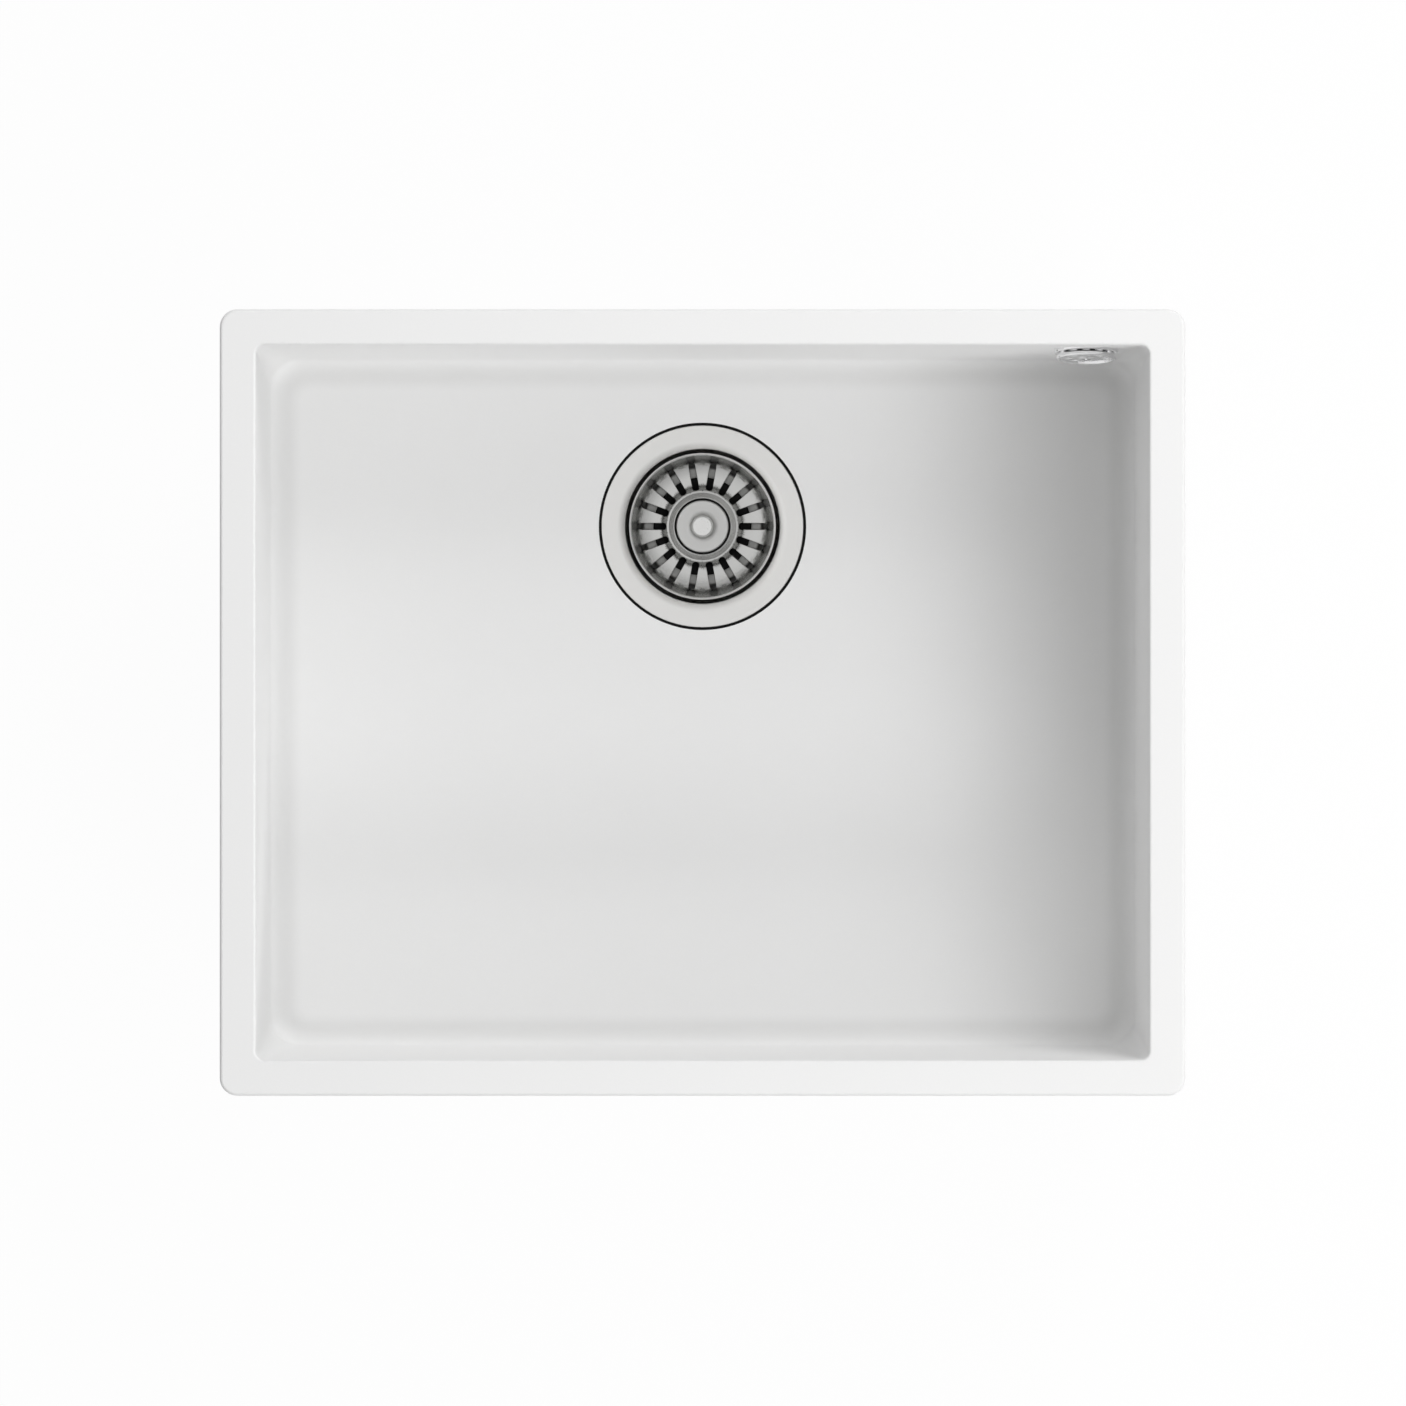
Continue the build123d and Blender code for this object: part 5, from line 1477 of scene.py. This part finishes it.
# Finishes of the CAD nodes that show as they are
CAD_FINISHES = (
    (brass, ("body_nut", "housing_nut")),
    (satin_steel, ("centre_screw", "strainer_post", "stopper_plate", "post_nut")),
    (chrome, ("overflow_screw",)),
    (rubber, ("body_gasket", "hub_washer", "stopper_seal", "port_washer", "elbow_washer")),
    (rubber, ("overflow_gasket", "housing_seal", "elbow_seal")),
    (white_plastic, ("overflow_elbow", "overflow_duct", "overflow_pipe")),
    (grey_plastic, ("stem_bush", "overflow_housing")),
)
for finish, nodes in CAD_FINISHES:
    for node in nodes:
        mesh = frame["nodes"][node].data
        mesh.materials.clear()
        mesh.materials.append(finish)

# Stage: a white floor and a white surround
FLOOR_REACH = 4.0
FLOOR_GAP = 0.5 * MM
FLOOR_GREY = (0.85, 0.85, 0.85, 1)
BACKDROP_WHITE = 0.96
WHITE = (1, 1, 1, 1)
floor_z = cad_low.z - FLOOR_GAP
floor_plan = ((-1, -1), (1, -1), (1, 1), (-1, 1))
floor_points = [(x * FLOOR_REACH, y * FLOOR_REACH, floor_z) for x, y in floor_plan]
floor_mesh = bpy.data.meshes.new("studio_floor")
floor_mesh.from_pydata(floor_points, [], [(0, 1, 2, 3)])
studio_floor = bpy.data.objects.new("studio_floor", floor_mesh)
bpy.context.scene.collection.objects.link(studio_floor)


def background_share(finish):
    """1 for the rays that see the background itself, straight, in a mirror or through glass."""
    outputs = ("Is Camera Ray", "Is Glossy Ray", "Is Transmission Ray")
    seen = [finish.node("ShaderNodeLightPath", output=output) for output in outputs]
    return seen[0] + seen[1] + seen[2]


def floor_finish():
    """Pale matt floor that looks white where it is seen, with the object's shadow left on it.

    From below it is clear, so that the underside of the sink can be looked at.
    """
    finish = Finish("studio_floor_white")
    share = background_share(finish) * BACKDROP_WHITE
    glow = finish.node("ShaderNodeEmission", None, {"Color": WHITE, "Strength": 1.0})
    matt = finish.node("ShaderNodeBsdfDiffuse", None, {"Color": FLOOR_GREY})
    both = finish.node("ShaderNodeMixShader", None, {0: share, 1: matt, 2: glow})
    clear = finish.node("ShaderNodeBsdfTransparent")
    below = finish.node("ShaderNodeNewGeometry", output="Backfacing")
    sided = finish.node("ShaderNodeMixShader", None, {0: below, 1: both, 2: clear})
    finish.feed(finish.tree.nodes["Material Output"], {"Surface": sided})
    return finish.material


floor_mesh.materials.append(floor_finish())

# Light: an even surround and soft lamps on the right, in front of the sink and behind it
AMBIENT = 0.35
MIRRORED_FADE = 0.5
LAMP_DISTANCE = 3.0
LAMP_SIZE = 1.2
LAMPS = (
    # name, degrees round from the right towards the rear, degrees above the rim, watts
    ("front_right_lamp", -60, 41, 34.0),
    ("right_lamp", -20, 52, 12.0),
    ("rear_right_lamp", 61, 48, 18.0),
    ("rear_lamp", 75, 34, 27.0),
)


def mirrored_fade(finish):
    """How much greyer metal mirrors the surround: more towards its foot, and not at all on the left.

    For a direction (x, y, z) of length 1 it grows with the root of x^2 + y^2, plus x where x is below 0.
    """
    x, y, _ = finish.split(finish.node("ShaderNodeTexCoord", output="Generated"))
    leftward = finish.maths("MINIMUM", x, 0.0)
    mirrored = finish.node("ShaderNodeLightPath", output="Is Glossy Ray")
    return mirrored * ((x * x + y * y) ** ROOT + leftward) * MIRRORED_FADE


world = bpy.data.worlds.new("studio")
bpy.context.scene.world = world
world.use_nodes = True
surround = Finish("surround", world.node_tree)
share = background_share(surround)
strength = share + (1 - share) * AMBIENT - mirrored_fade(surround)
surround.feed(world.node_tree.nodes["Background"], {"Color": WHITE, "Strength": strength})

for lamp_name, round_degrees, above_degrees, watts in LAMPS:
    round_turn = math.radians(round_degrees)
    above = math.radians(above_degrees)
    lamp_data = bpy.data.lights.new(lamp_name, "AREA")
    lamp_data.shape = "DISK"
    lamp_data.size = LAMP_SIZE
    lamp_data.energy = watts
    lamp = bpy.data.objects.new(lamp_name, lamp_data)
    lamp.visible_glossy = False
    lamp.location = (
        LAMP_DISTANCE * math.cos(above) * math.cos(round_turn),
        LAMP_DISTANCE * math.cos(above) * math.sin(round_turn),
        LAMP_DISTANCE * math.sin(above),
    )
    # An area lamp shines along its own -Z, so it is leant over and then turned round
    lamp.rotation_euler = (0, QUARTER - above, round_turn)
    bpy.context.scene.collection.objects.link(lamp)

# Camera: straight down, with the sink's rear at the top of the picture
PHOTO_SIZE = 1406
PHOTO_MIDDLE = 702.5
PIXEL = 0.5593 * MM
CAMERA_HEIGHT = 2.0
camera_data = bpy.data.cameras.new("camera")
camera_data.type = "ORTHO"
camera_data.ortho_scale = PHOTO_SIZE * PIXEL
camera = bpy.data.objects.new("camera", camera_data)
camera_offset = (PHOTO_SIZE / 2 - PHOTO_MIDDLE) * PIXEL
camera.location = (camera_offset, -camera_offset, CAMERA_HEIGHT)
bpy.context.scene.collection.objects.link(camera)
bpy.context.scene.camera = camera
bpy.context.scene.view_settings.view_transform = "Standard"
